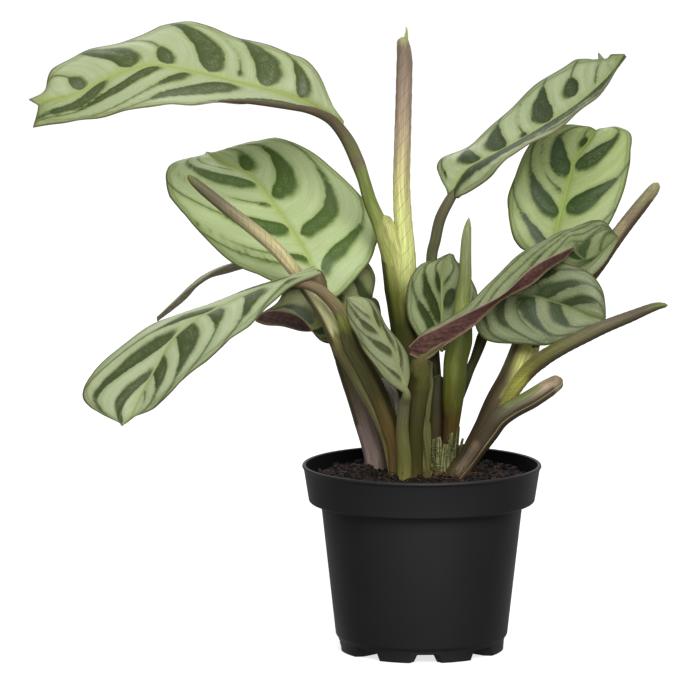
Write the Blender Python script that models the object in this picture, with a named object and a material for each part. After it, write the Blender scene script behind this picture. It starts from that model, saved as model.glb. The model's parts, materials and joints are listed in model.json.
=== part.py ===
"""Potted prayer plant: patterned blades on leafy shoots, standing in a moulded nursery pot.

Metres, +Z up. The origin is the centre of the pot's foot, on the surface it stands on.
The plant's front faces -Y. The tables below are in millimetres.
"""

import math
import random

import bpy
import numpy as np
from mathutils import Vector

MM = 0.001
GAP = 0.3

# Pot, millimetres
POT_SEGMENTS = 48
RIM_RADIUS = 60.0
RIM_HEIGHT = 94.0
COLLAR_BASE_RADIUS = 56.8
COLLAR_BASE_HEIGHT = 75.0
WALL_TOP_RADIUS = 50.5
WALL_BASE_RADIUS = 43.2
SHOULDER_HEIGHT = 8.0
FOOT_RADIUS = 41.5
WALL = 1.2
DRAIN_COUNT = 8
DRAIN_WIDTH = 9.5
DRAIN_HEIGHT = 3.4
DRAIN_INNER = 19.0
DRAIN_HOLE_RADIUS = 2.5

# Soil, millimetres
SOIL_TOP = 89.5
SOIL_EDGE = 86.6
HOLE_CLEARANCE = 0.4

# Plant, millimetres
BLADE_THICKNESS = 0.7
BLADE_COLUMNS = 7
STEM_SIDES = 8
RING_SPACING = 11.0

# Each blade is a list of stations from its foot to its tip.
# A station holds a point on the left edge, the midrib and the right edge,
# left and right as seen on the upper face with the tip upward.
BLADES = {
    "tall_leaf": (
        ((-40, 1, 265), (-39, 3, 265), (-39, 4, 266)),
        ((-50, -4, 272), (-49, 2, 271), (-46, 6, 278)),
        ((-62, -13, 276), (-60, 0, 277), (-55, 10, 293)),
        ((-79, -22, 278), (-76, -3, 283), (-68, 14, 300)),
        ((-98, -31, 279), (-96, -6, 288), (-91, 14, 307)),
        ((-116, -35, 279), (-115, -9, 293), (-117, 11, 316)),
        ((-134, -36, 278), (-135, -12, 296), (-140, 6, 308)),
        ((-153, -32, 273), (-155, -14, 290), (-164, 1, 302)),
        ((-171, -25, 269), (-173, -16, 281), (-182, -7, 294)),
        ((-183, -20, 267), (-186, -17, 279), (-187, -13, 283)),
        ((-193, -18, 265), (-190, -17, 276), (-195, -15, 279)),
    ),
    "broad_left_leaf": (
        ((-53, 8, 189), (-52, 8, 190), (-51, 8, 189)),
        ((-66, 9, 184), (-55, 12, 194), (-44, 8, 177)),
        ((-80, 11, 186), (-59, 18, 200), (-30, 12, 190)),
        ((-98, 18, 195), (-66, 28, 210), (-22, 20, 202)),
        ((-114, 29, 209), (-74, 38, 220), (-24, 30, 214)),
        ((-124, 38, 221), (-82, 46, 230), (-37, 38, 231)),
        ((-129, 46, 231), (-91, 53, 236), (-55, 48, 245)),
        ((-127, 54, 238), (-99, 58, 238), (-75, 56, 252)),
        ((-118, 60, 241), (-105, 62, 241), (-93, 62, 248)),
        ((-110, 66, 242), (-109, 66, 244), (-105, 66, 242)),
    ),
    "front_left_leaf": (
        ((-50, -23, 193), (-52, -20, 194), (-54, -17, 196)),
        ((-64, -30, 188), (-67, -26, 191), (-70, -19, 190)),
        ((-73, -40, 182), (-81, -32, 187), (-89, -24, 184)),
        ((-84, -51, 173), (-97, -38, 180), (-108, -27, 177)),
        ((-96, -56, 163), (-112, -43, 173), (-127, -31, 172)),
        ((-111, -58, 151), (-124, -48, 163), (-146, -38, 162)),
        ((-122, -60, 140), (-131, -52, 151), (-162, -44, 148)),
        ((-133, -60, 131), (-138, -56, 139), (-168, -50, 136)),
        ((-141, -61, 127), (-143, -60, 129), (-158, -57, 128)),
        ((-147.2, -62, 123.4), (-148, -62, 123), (-148.6, -62, 123.8)),
    ),
    "edge_on_leaf": (
        ((-62, 26, 186), (-62, 36, 184), (-62, 42, 183)),
        ((-76, 20, 190), (-76, 38, 188), (-77, 54, 185)),
        ((-91, 22, 192), (-92, 40, 188), (-92, 58, 184)),
        ((-109, 26, 185), (-109, 43, 182), (-110, 60, 178)),
        ((-124, 34, 172), (-124, 46, 169), (-124, 58, 166)),
        ((-134, 45, 161), (-134, 46, 160), (-134, 47, 159)),
    ),
    "low_left_leaf": (
        ((-24, 25, 171), (-24, 26, 173), (-23, 27, 175)),
        ((-30, 20, 160), (-31, 25, 172), (-22, 27, 186)),
        ((-38, 15, 154), (-40, 24, 169), (-29, 26, 194)),
        ((-49, 13, 154), (-51, 21, 165), (-46, 27, 192)),
        ((-60, 13, 162), (-60, 18, 160), (-65, 26, 184)),
        ((-69, 11, 169), (-70, 15, 161), (-72, 22, 172)),
        ((-78, 10, 170), (-78, 12, 163), (-79, 16, 169)),
        ((-83, 9, 167), (-83, 10, 165), (-84, 11, 166)),
    ),
    "front_small_leaf": (
        ((-10, -34, 135), (-8, -34, 135), (-8, -33, 136)),
        ((-17, -37, 141), (-10, -34, 142), (-6, -30, 144)),
        ((-26, -40, 152), (-13, -36, 152), (-7, -30, 152)),
        ((-32, -42, 162), (-17, -38, 161), (-12, -31, 161)),
        ((-36, -44, 170), (-22, -40, 168), (-18, -33, 169)),
        ((-38, -45, 179), (-27, -42, 177), (-22, -35, 177)),
        ((-38, -45, 183), (-33, -43, 182), (-26, -37, 182)),
        ((-38, -44, 184), (-37, -43, 184), (-35, -41, 185)),
    ),
    "centre_leaf": (
        ((9, 1, 151), (10, 1, 151), (11, 1, 151)),
        ((1, -1, 155), (10, 3, 155), (18, 2.5, 154)),
        ((-6, -3, 166), (10, 5, 164), (25, 4, 163)),
        ((-8, -3, 177), (10, 7, 175), (28, 4, 175)),
        ((-6, -2, 187), (10, 9, 184), (25, 6, 186)),
        ((-1, 4, 194), (11, 11, 191), (21, 9, 192)),
        ((7, 10.5, 196), (12, 12, 195), (17, 11.5, 195)),
        ((12, 13, 198), (14, 13.5, 198.6), (16, 13, 198)),
    ),
    "upper_right_leaf": (
        ((14, 12, 227), (15, 12, 227), (16, 11, 227)),
        ((9, 18, 236), (17, 12, 234), (21, 5, 229)),
        ((10, 24, 245), (23, 12, 242), (32, -2, 238)),
        ((26, 26, 253), (36, 11, 249), (40, -6, 247)),
        ((40, 27, 266), (49, 11, 256), (52, -7, 255)),
        ((54, 26, 279), (62, 10, 264), (66, -7, 263)),
        ((67, 22, 289), (76, 8, 273), (80, -6, 274)),
        ((81, 16, 296), (87, 6, 283), (91, -4, 283)),
        ((89, 8, 298), (95, 4, 291), (97, -1, 293)),
        ((99, 1, 300), (100, 0, 300), (101, -1, 299)),
    ),
    "round_right_leaf": (
        ((64, 30, 195), (66, 30, 195), (67, 30, 195)),
        ((52, 30, 199), (67, 32, 202), (85, 30, 199)),
        ((45, 32, 210), (69, 36, 211), (94, 33, 210)),
        ((43, 37, 222), (72, 42, 221), (100, 38, 222)),
        ((47, 43, 234), (75, 48, 232), (104, 44, 234)),
        ((53, 50, 246), (78, 54, 240), (107, 51, 246)),
        ((61, 56, 255), (82, 59, 246), (107, 58, 254)),
        ((74, 62, 258), (86, 63, 250), (101, 63, 257)),
        ((85, 67, 257), (89, 67, 255), (94, 67, 256)),
    ),
    "folded_right_leaf": (
        ((-6, -28, 158), (-6, -30, 155), (-7, -33, 158)),
        ((1, -27, 165), (1, -30, 152), (-1, -35, 164)),
        ((11, -26, 170), (9, -29, 158), (8, -34, 168)),
        ((25, -24, 180), (24, -28, 168), (22, -33, 175)),
        ((38, -16, 193), (38, -26, 181), (38, -31, 183)),
        ((51, -9, 203), (53, -23, 188), (50, -29, 194)),
        ((63, -4, 208), (65, -18, 195), (62, -24, 201)),
        ((74, 0, 213), (75, -9, 200), (75, -14, 202)),
        ((84, 3, 216), (84, -2, 200), (82, -3, 189)),
        ((92, 5, 215), (91, 2, 202), (91, -1, 196)),
        ((97, 7, 209), (98, 7, 208), (98, 6, 206)),
    ),
    "striped_right_leaf": (
        ((34, -2, 181), (33, -3, 180), (31.6, -4, 177.4)),
        ((37, 0, 188), (37, -5, 180), (26, -8, 168)),
        ((46, 1, 194), (46, -7, 180), (31, -13, 159)),
        ((57, -2, 197), (56, -9, 180), (46, -17, 157)),
        ((68, -8, 197), (67, -11, 177), (61, -20, 157)),
        ((82, -11, 193), (76, -13, 174), (73, -20, 161)),
        ((90, -13, 184), (83, -15, 171), (81, -19, 165)),
        ((92, -14.5, 176), (88, -16, 170), (86, -18, 166)),
        ((92.4, -16, 171), (91.8, -16.4, 168.6), (90.6, -17, 166.6)),
    ),
    "dry_sheath": (
        ((-16, -3, 90.2), (-13, -3, 90.2), (-10, -3, 90.2)),
        ((-15, -3, 110), (-12, -4, 110), (-9, -3, 110)),
        ((-17, -3, 124), (-14, -4, 125), (-11, -3, 126)),
        ((-20, -3, 132), (-17, -4, 133), (-14, -3, 134)),
        ((-23, -3, 137), (-22, -3, 138), (-20, -3, 138)),
    ),
}

# How far each half of a blade arches up between the midrib and its edge.
ARCH = 1.5
ARCHES = {
    "tall_leaf": (-2.0, 2.0),
    "dry_sheath": (0.5, 0.5),
    "folded_right_leaf": (1.0, -0.8),
    "low_left_leaf": (-0.8, 1.0),
}

# Stems and rolled leaves: (x, y, z, radius) from the soil up.
STEMS = {
    "tall_shoot": (
        (
            (-7, 4, 82, 5), (-7, 4, 105, 5.2), (-8, 5, 125, 5.6), (-9, 6, 156, 6.4),
            (-9, 7, 176, 7.3), (-11, 7, 191, 8.3), (-12, 7, 200, 7.8),
        ),
        (
            (-13, 6, 190, 5), (-18, 5, 205, 4.6), (-21, 5, 215, 4.2), (-26, 5, 226, 3.5),
            (-29, 4, 237, 3.2), (-33, 4, 247, 3), (-37, 3, 256, 2.8), (-39.5, 3, 263.6, 2),
        ),
        ((-9, 6, 104, 2.6), (-16, 20, 128, 2.4), (-21, 27, 155, 2.2), (-23, 27, 170.4, 1.8)),
    ),
    "tall_rolled_leaf": (
        (
            (-7.5, 10.5, 201.4, 5.2), (-9, 10, 215, 4.7), (-10, 10, 233, 4.2), (-10, 10, 252, 4.1),
            (-9, 10, 271, 4), (-9, 10, 296, 3.8), (-9, 10, 306, 3), (-9, 10, 309, 0.6),
        ),
    ),
    "front_shoot": (
        (
            (-4, -17, 84, 3.6), (-4, -17, 99, 3.6), (-4, -18, 114, 3.8), (-3, -19, 127, 4.4),
            (-2, -21, 137, 5.2), (-1, -24, 144, 5.4), (0, -28, 151.4, 4.2),
        ),
        (
            (-9, -19, 85, 3.2), (-9, -20, 99, 2.9), (-10, -23, 115, 2.4), (-9, -28, 128, 2.2),
            (-8, -33, 134.2, 1.8),
        ),
    ),
    "left_shoot": (
        (
            (-14, -12, 85, 4), (-16, -11, 103, 4.2), (-18, -11, 113, 4.3), (-21, -12, 124, 4.3),
            (-25, -13, 135, 4.2), (-30, -14, 146, 4), (-34, -16, 155, 3.8), (-37, -18, 164, 3.6),
            (-40, -20, 172, 3.3), (-44, -21, 178, 2.9), (-50, -22, 184, 2.5), (-55, -23, 187, 2.2),
            (-61, -23.5, 188.5, 2), (-66, -24.5, 188.6, 1.4),
        ),
        (
            (-15, -9, 85, 3.4), (-19, -8, 105, 4), (-22, -8, 115, 4), (-26, -8, 125, 4),
            (-31, -8, 135, 4.2), (-36, -9, 146, 4.2), (-41, -9, 155, 4), (-45, -9, 164, 3.6),
            (-49, -10, 172, 3.2), (-53, -10, 178, 3), (-58, -10, 185, 3), (-61.4, -10, 190, 2.9),
        ),
    ),
    "left_rolled_leaf": (
        (
            (-62, -10, 190.8, 3.1), (-72, -11, 203, 3.4), (-83, -12, 213, 3.2), (-97, -12, 224, 3),
            (-108, -12, 233, 2.6), (-114, -12, 239, 1.8), (-116, -12, 241, 0.6),
        ),
    ),
    "outer_left_shoot": (
        (
            (-24, 12, 83, 4), (-25, 11, 93, 4.4), (-26, 11, 101, 4.6), (-29, 11, 114, 5),
            (-32, 11, 125, 4.8), (-36, 12, 135, 4.6), (-40, 13, 145, 4.2), (-42, 14, 151, 3.8),
        ),
        (
            (-41, 13, 146, 3), (-44, 9, 156, 2.8), (-47, 8.5, 170, 2.6), (-51, 10, 181, 2.4),
            (-52, 10, 186.6, 1.6),
        ),
        (
            (-40, 14, 143, 2.6), (-44, 26, 148, 2.4), (-50, 34, 154, 2.2), (-56, 38, 172, 2.2),
            (-61, 36, 183, 1.6),
        ),
    ),
    "middle_shoot": (
        (
            (13, -2, 85, 3), (14, -2, 106, 3), (15, -3, 117, 3.2), (15, -4, 127, 4.4),
            (16, -5, 137, 5), (17, -5, 147, 5.4), (19, -6, 157, 5.8), (20, -6, 168, 4.6),
            (20, -6, 178, 3.4), (21, -6, 188, 3), (21, -6, 198, 2.7), (21, -6, 208, 2.3),
            (22, -6, 214, 1.7), (23, -6, 218, 0.5),
        ),
    ),
    "dark_shoot": (
        (
            (6, 8, 85, 3.4), (6, 8, 105, 3.4), (7, 8, 115, 3.4), (7, 8, 125, 3.1), (7, 9, 135, 3),
            (6, 13, 150, 2.9), (5, 17, 170, 2.8), (5, 17, 195, 2.8), (7, 15, 205, 2.8),
            (9, 13, 216, 2.7), (14.6, 12, 226, 2.2),
        ),
        ((8, 7, 120, 2.4), (10, 3, 138, 2.2), (10, 2, 149.8, 1.6)),
    ),
    "slim_shoot": (
        (
            (14, 6, 86, 2.4), (16, 5, 118, 2.4), (19, 5, 126, 2.4), (22, 4, 135, 2.4),
            (24, 4, 141, 2.3), (26, 4, 146, 2.2), (28, 3, 150, 2.1), (31, 3, 156, 2),
            (34, 2, 167, 1.8), (34, -1, 177, 1.3),
        ),
    ),
    "right_shoot": (
        (
            (13, -14, 84, 5), (18, -13, 91, 5.2), (24, -11, 99, 5), (28, -9, 106, 5),
            (32, -8, 114, 5.2), (38, -6, 126, 5.8), (46, -3, 139, 6.4), (52, 0, 153, 6.2),
        ),
        (
            (49, 1, 145, 3), (50, 4, 155, 3), (55, 9, 163, 2.8), (60, 18, 174, 2.6),
            (64, 27, 186, 2.4), (65, 30, 194, 1.6),
        ),
        (
            (37, -8, 117, 3), (40, -13, 124, 3.8), (45, -16, 132, 4), (52, -17, 141, 4.2),
            (59, -19, 149, 4), (69, -22, 156, 3.4), (82, -24, 163, 3.2), (91, -25, 168, 3),
            (103, -25, 173, 2.4), (116, -25, 178, 1.6), (122, -25, 178, 0.5),
        ),
        (
            (23, -15, 96, 3.4), (29, -18, 105, 4.4), (34, -18, 112, 4.6), (39, -19, 119, 4.6),
            (46, -19, 124, 4.4), (54, -20, 129, 4.2), (63, -20, 135, 3.6), (69, -20, 139, 1.6),
        ),
    ),
    "right_rolled_leaf": (
        (
            (54.8, -2, 154.8, 3.4), (63, 4, 163, 3.8), (75, 10, 176, 3.8), (88, 14, 192, 3.6),
            (94, 16, 200, 3.4), (102, 18, 211, 3.2), (110, 19, 221, 3), (117, 20, 230, 2.6),
            (119, 20, 233, 0.8),
        ),
    ),
}

# Collar of torn old sheath round the middle shoots.
TORN_SHEATH_CENTRE = (8.8, 2.5)
TORN_SHEATH_RADII = (10.4, 10.3)
TORN_SHEATH_ARC = (196.0, 352.0)
TORN_SHEATH_HEIGHT = (102.0, 113.0)
TORN_SHEATH_COLUMNS = 22

COLOURS = {
    "pot": ("#141517", 0.45),
    "soil": ("#35241b", 0.95),
    "blade": ("#8fa97c", 0.5),
    "folded_blade": ("#7f9a70", 0.5),
    "stem": ("#7d8148", 0.5),
    "brown_stem": ("#6b5f42", 0.5),
    "dark_stem": ("#4d4431", 0.55),
    "rolled": ("#a3927c", 0.55),
    "rolled_green": ("#c3bf85", 0.5),
    "dry": ("#8d8170", 0.8),
}


def linear(hex_colour):
    """Turn an sRGB hex colour into linear RGBA."""
    values = [int(hex_colour[i:i + 2], 16) / 255 for i in (1, 3, 5)]
    return [v / 12.92 if v <= 0.04045 else ((v + 0.055) / 1.055) ** 2.4 for v in values] + [1.0]


def material(kind):
    """A plain surface of one of the plant's or pot's colours."""
    found = bpy.data.materials.get(kind)
    if found:
        return found
    colour, roughness = COLOURS[kind]
    made = bpy.data.materials.new(kind)
    made.use_nodes = True
    surface = made.node_tree.nodes["Principled BSDF"]
    surface.inputs["Base Color"].default_value = linear(colour)
    surface.inputs["Roughness"].default_value = roughness
    made.diffuse_color = linear(colour)
    return made


def solid(name, points, faces, kind, origin=(0, 0, 0), sharp=40):
    """A closed mesh object from points in millimetres, with its origin at a point of the piece."""
    mesh = bpy.data.meshes.new(name)
    start = np.asarray(origin, float)
    mesh.from_pydata([tuple((np.asarray(p, float) - start) * MM) for p in points], [], faces)
    mesh.materials.append(material(kind))
    mesh.shade_smooth()
    mesh.set_sharp_from_angle(angle=math.radians(sharp))
    piece = bpy.data.objects.new(name, mesh)
    piece.location = Vector(start * MM)
    bpy.context.scene.collection.objects.link(piece)
    return piece


def combine(piece, others, operation):
    """Join other objects to a piece, or cut them from it, and remove them."""
    group = bpy.data.collections.new("tools")
    for other in others:
        bpy.context.scene.collection.objects.unlink(other)
        group.objects.link(other)
    boolean = piece.modifiers.new("join", "BOOLEAN")
    boolean.operand_type = "COLLECTION"
    boolean.collection = group
    boolean.operation = operation
    boolean.solver = "EXACT"
    bpy.context.scene.collection.children.link(group)
    bpy.context.view_layer.update()
    shape = bpy.data.meshes.new_from_object(piece.evaluated_get(bpy.context.evaluated_depsgraph_get()))
    piece.modifiers.clear()
    piece.data = shape
    shape.shade_smooth()
    shape.set_sharp_from_angle(angle=math.radians(40))
    for other in list(group.objects):
        bpy.data.objects.remove(other)
    bpy.data.collections.remove(group)


def curve_through(points, at):
    """Smooth curve through the points, read at station numbers from 0 to the last."""
    p = np.asarray(points, float)
    last = len(p) - 1
    at = np.clip(np.asarray(at, float), 0, last)
    i = np.minimum(at.astype(int), last - 1)
    f = (at - i)[:, None]
    q = np.vstack([2 * p[0] - p[1], p, 2 * p[-1] - p[-2]])
    a, b, c, d = q[i], q[i + 1], q[i + 2], q[i + 3]
    return 0.5 * (2 * b + (c - a) * f + (2 * a - 5 * b + 4 * c - d) * f ** 2 + (3 * b - a - 3 * c + d) * f ** 3)


def stations_along(points, shares):
    """Station numbers at shares of the length of the curve through the points."""
    fine = np.linspace(0, len(points) - 1, 30 * (len(points) - 1) + 1)
    steps = np.linalg.norm(np.diff(curve_through(points, fine), axis=0), axis=1)
    run = np.concatenate([[0], np.cumsum(steps)])
    return np.interp(shares, run / run[-1], fine), run[-1]


def unit(vectors):
    return vectors / (np.linalg.norm(vectors, axis=-1, keepdims=True) + 1e-9)


def blade_surface(rows, shares, across, arches):
    """Points of a blade's upper face: along the midrib by shares, across from -1 to 1."""
    left, rib, right = ([row[k] for row in rows] for k in range(3))
    at, _ = stations_along(rib, shares)
    middle = curve_through(rib, at)
    forward = unit(curve_through(rib, at + 0.02) - curve_through(rib, at - 0.02))
    surface = np.zeros((len(shares), len(across), 3))
    for column, t in enumerate(across):
        edge = curve_through(right if t > 0 else left, at)
        reach = edge - middle
        up = unit(np.cross(reach if t > 0 else -reach, forward))
        width = np.linalg.norm(reach, axis=1, keepdims=True)
        arch = arches[1 if t > 0 else 0] * 4 * abs(t) * (1 - abs(t)) * np.clip(width / 15, 0, 1)
        surface[:, column] = middle + reach * abs(t) + up * arch
    return surface


def evened(normal, rounds=3):
    """Directions averaged with their neighbours, so that a fold's two faces can't cross."""
    for _ in range(rounds):
        for axis in (0, 1):
            count = normal.shape[axis]
            before = np.take(normal, np.maximum(np.arange(count) - 1, 0), axis)
            after = np.take(normal, np.minimum(np.arange(count) + 1, count - 1), axis)
            normal = unit(before + 2 * normal + after)
    return normal


def add_blade(name, kind):
    """A thin closed blade, split into triangles alike on both faces."""
    rows = BLADES[name]
    length = stations_along([row[1] for row in rows], [0])[1]
    count = max(9, round(length / 7.5))
    shares = (1 - np.cos(np.linspace(0.25, 0.8, count) * math.pi)) / 2
    shares = (shares - shares[0]) / (shares[-1] - shares[0])
    across = np.linspace(-1, 1, BLADE_COLUMNS)
    top = blade_surface(rows, shares, across, ARCHES.get(name, (ARCH, ARCH)))
    normal = unit(np.cross(np.gradient(top, axis=1), np.gradient(top, axis=0)))
    normal = evened(normal)
    normal[0] = normal[0].mean(axis=0)
    normal[-1] = normal[-1].mean(axis=0)
    normal = unit(normal)
    under = top - normal * BLADE_THICKNESS
    points = np.concatenate([top.reshape(-1, 3), under.reshape(-1, 3)])
    offset = count * BLADE_COLUMNS
    faces = []

    def corner(i, j):
        return i * BLADE_COLUMNS + j

    for i in range(count - 1):
        for j in range(BLADE_COLUMNS - 1):
            a, b, c, d = corner(i, j), corner(i, j + 1), corner(i + 1, j + 1), corner(i + 1, j)
            for triangle in ((a, b, c), (a, c, d)):
                faces.append(triangle)
                faces.append(tuple(v + offset for v in reversed(triangle)))
    border = [corner(0, j) for j in range(BLADE_COLUMNS)]
    border += [corner(i, BLADE_COLUMNS - 1) for i in range(1, count)]
    border += [corner(count - 1, j) for j in range(BLADE_COLUMNS - 2, -1, -1)]
    border += [corner(i, 0) for i in range(count - 2, 0, -1)]
    for v, w in zip(border, border[1:] + border[:1]):
        faces.append((v, v + offset, w + offset))
        faces.append((v, w + offset, w))
    return solid(name, points, faces, kind, origin=rows[0][1])


def tube(name, points, kind, sides=STEM_SIDES, grow=0.0):
    """A tube through (x, y, z, radius) points with flat ends."""
    path = [p[:3] for p in points]
    length = stations_along(path, [0])[1]
    count = max(3, round(length / RING_SPACING) + 1)
    at = stations_along(path, np.linspace(0, 1, count))[0]
    centres = curve_through(path, at)
    radii = np.interp(at, range(len(points)), [p[3] for p in points]) + grow
    forward = unit(np.gradient(centres, axis=0))
    side = unit(np.cross(forward[0], (0.0, 1.0, 0.0)))
    rings = []
    for centre, radius, ahead in zip(centres, radii, forward):
        side = unit(side - ahead * np.dot(side, ahead))
        other = np.cross(ahead, side)
        for k in range(sides):
            turn = 2 * math.pi * k / sides
            rings.append(centre + radius * (math.cos(turn) * side + math.sin(turn) * other))
    faces = [tuple(range(sides - 1, -1, -1)), tuple(range((count - 1) * sides, count * sides))]
    for i in range(count - 1):
        for k in range(sides):
            a, b = i * sides + k, i * sides + (k + 1) % sides
            faces.append((a, b, b + sides, a + sides))
    return solid(name, rings, faces, kind, origin=path[0], sharp=50)


def add_shoot(name, kind):
    """A leafy shoot: its stems joined in one body."""
    first, *others = [tube(name if i == 0 else f"{name}_{i}", points, kind)
                      for i, points in enumerate(STEMS[name])]
    if others:
        combine(first, others, "UNION")
    return first


def turned(name, profile, kind, segments=POT_SEGMENTS, height_at=None):
    """A closed solid turned about Z from (radius, height) points, both ends on the axis."""
    points = []
    rings = []
    for radius, height in profile:
        if radius == 0:
            rings.append([len(points)])
            points.append((0, 0, height))
            continue
        rings.append(list(range(len(points), len(points) + segments)))
        for k in range(segments):
            turn = 2 * math.pi * (k + 0.5) / segments
            lift = height_at(radius, turn, height) if height_at else 0
            points.append((radius * math.cos(turn), radius * math.sin(turn), height + lift))
    faces = []
    for low, high in zip(rings, rings[1:]):
        for k in range(segments):
            n = (k + 1) % segments
            if len(low) == 1:
                faces.append((low[0], high[n], high[k]))
            elif len(high) == 1:
                faces.append((low[k], low[n], high[0]))
            else:
                faces.append((low[k], low[n], high[n], high[k]))
    return solid(name, points, faces, kind, sharp=35)


def box(name, low, high, turn, kind):
    """A box between two corners, turned about Z."""
    corners = [(x, y, z) for z in (low[2], high[2]) for y in (low[1], high[1]) for x in (low[0], high[0])]
    c, s = math.cos(turn), math.sin(turn)
    points = [(x * c - y * s, x * s + y * c, z) for x, y, z in corners]
    faces = [(0, 2, 3, 1), (4, 5, 7, 6), (0, 1, 5, 4), (2, 6, 7, 3), (0, 4, 6, 2), (1, 3, 7, 5)]
    return solid(name, points, faces, kind)


def drain_turns():
    return [math.radians(-90 + 360 / DRAIN_COUNT * k) for k in range(DRAIN_COUNT)]


def channel_boxes(grow, kind):
    """The raised channels over the drains, grown by a clearance."""
    half = DRAIN_WIDTH / 2 + WALL + grow
    low = (DRAIN_INNER - WALL - grow, -half, 0.4)
    high = (FOOT_RADIUS - 0.5 * WALL + grow * 4, half, DRAIN_HEIGHT + WALL + grow)
    return [box("channel", low, high, turn, kind) for turn in drain_turns()]


def add_pot():
    """Nursery pot: thin wall, wide collar, rolled lip and drains under a raised channel."""
    inner = WALL_BASE_RADIUS - WALL
    outside = [
        (0, 0), (FOOT_RADIUS - 0.8, 0), (FOOT_RADIUS, 0.8), (FOOT_RADIUS + 0.2, SHOULDER_HEIGHT - 2.2),
        (WALL_BASE_RADIUS - 0.3, SHOULDER_HEIGHT - 1.0), (WALL_BASE_RADIUS, SHOULDER_HEIGHT),
        (WALL_TOP_RADIUS, COLLAR_BASE_HEIGHT - 1.6), (WALL_TOP_RADIUS + 1.0, COLLAR_BASE_HEIGHT - 0.4),
        (COLLAR_BASE_RADIUS - 1.6, COLLAR_BASE_HEIGHT), (COLLAR_BASE_RADIUS - 0.3, COLLAR_BASE_HEIGHT + 0.6),
        (COLLAR_BASE_RADIUS, COLLAR_BASE_HEIGHT + 1.6), (RIM_RADIUS - 1.0, RIM_HEIGHT - 2.6),
        (RIM_RADIUS, RIM_HEIGHT - 1.9), (RIM_RADIUS, RIM_HEIGHT - 0.5), (RIM_RADIUS - 0.5, RIM_HEIGHT),
    ]
    inside = [
        (RIM_RADIUS - 1.3, RIM_HEIGHT - 0.3), (RIM_RADIUS - 1.8, RIM_HEIGHT - 2.0),
        (COLLAR_BASE_RADIUS - WALL, COLLAR_BASE_HEIGHT + 2.2),
        (COLLAR_BASE_RADIUS - WALL - 1.2, COLLAR_BASE_HEIGHT + WALL),
        (WALL_TOP_RADIUS - 0.4, COLLAR_BASE_HEIGHT + WALL - 0.4),
        (WALL_TOP_RADIUS - WALL, COLLAR_BASE_HEIGHT - 1.6),
        (inner, SHOULDER_HEIGHT), (FOOT_RADIUS - WALL, SHOULDER_HEIGHT - 3.0),
        (FOOT_RADIUS - WALL - 0.4, WALL + 0.8), (FOOT_RADIUS - WALL - 1.2, WALL), (0, WALL),
    ]
    pot = turned("pot", outside + inside, "pot")
    combine(pot, channel_boxes(0.0, "pot"), "UNION")
    cutters = []
    for turn in drain_turns():
        low = (DRAIN_INNER, -DRAIN_WIDTH / 2, -1.0)
        high = (FOOT_RADIUS + 6, DRAIN_WIDTH / 2, DRAIN_HEIGHT)
        cutters.append(box("drain", low, high, turn, "pot"))
        centre = (math.cos(turn) * 31, math.sin(turn) * 31)
        hole = [(*centre, 1.0, DRAIN_HOLE_RADIUS), (*centre, 4.0, DRAIN_HOLE_RADIUS), (*centre, 8.0, DRAIN_HOLE_RADIUS)]
        cutters.append(tube("drain_hole", hole, "pot", sides=10))
    combine(pot, cutters, "DIFFERENCE")
    return pot


def soil_lift(radius, turn, height):
    """Gentle bumps of the soil's top; the middle, where the stems stand, stays level."""
    if height < SOIL_EDGE - 1:
        return 0.0
    weight = min(1.0, max(0.0, (radius - 30) / 10)) * (1.0 if radius < 52 else 0.3)
    return weight * (0.7 * math.sin(5 * turn + radius * 0.3) + 0.6 * math.sin(9 * turn - radius * 0.5))


def add_soil():
    """Peat that fills the pot, with a plain hole for each stem and clear of the drain channels."""
    inner = WALL_BASE_RADIUS - WALL - GAP
    profile = [
        (0, WALL + GAP), (FOOT_RADIUS - WALL - 1.6, WALL + GAP), (FOOT_RADIUS - WALL - GAP - 0.5, WALL + 1.2),
        (FOOT_RADIUS - WALL - GAP - 0.1, SHOULDER_HEIGHT - 3.0), (inner - 0.1, SHOULDER_HEIGHT + 0.3),
        (WALL_TOP_RADIUS - WALL - GAP - 0.1, COLLAR_BASE_HEIGHT - 1.4),
        (WALL_TOP_RADIUS - 1.3, COLLAR_BASE_HEIGHT + WALL + 0.2),
        (COLLAR_BASE_RADIUS - WALL - 1.9, COLLAR_BASE_HEIGHT + WALL + GAP),
        (COLLAR_BASE_RADIUS - WALL - 0.6, COLLAR_BASE_HEIGHT + WALL + 1.6),
        (COLLAR_BASE_RADIUS - WALL + 0.6, SOIL_EDGE - 0.5), (54.0, SOIL_EDGE + 0.4),
        (47.0, SOIL_EDGE + 1.2), (38.0, SOIL_TOP - 0.6), (29.0, SOIL_TOP), (14.0, SOIL_TOP), (0, SOIL_TOP),
    ]
    soil = turned("soil", profile, "soil", segments=32, height_at=soil_lift)
    combine(soil, channel_boxes(GAP, "soil"), "DIFFERENCE")
    holes = []
    for shoot in STEMS.values():
        for points in shoot:
            if points[0][2] > SOIL_TOP:
                continue
            foot, above = np.array(points[0], float), np.array(points[1], float)
            start = foot + (foot - above) * (0.8 / np.linalg.norm(foot - above))
            path = [tuple(start), *points[:3]]
            holes.append(tube("hole", path, "soil", grow=HOLE_CLEARANCE))
    holes.append(torn_sheath("hole", HOLE_CLEARANCE))
    combine(soil, holes, "DIFFERENCE")
    return soil


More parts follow.
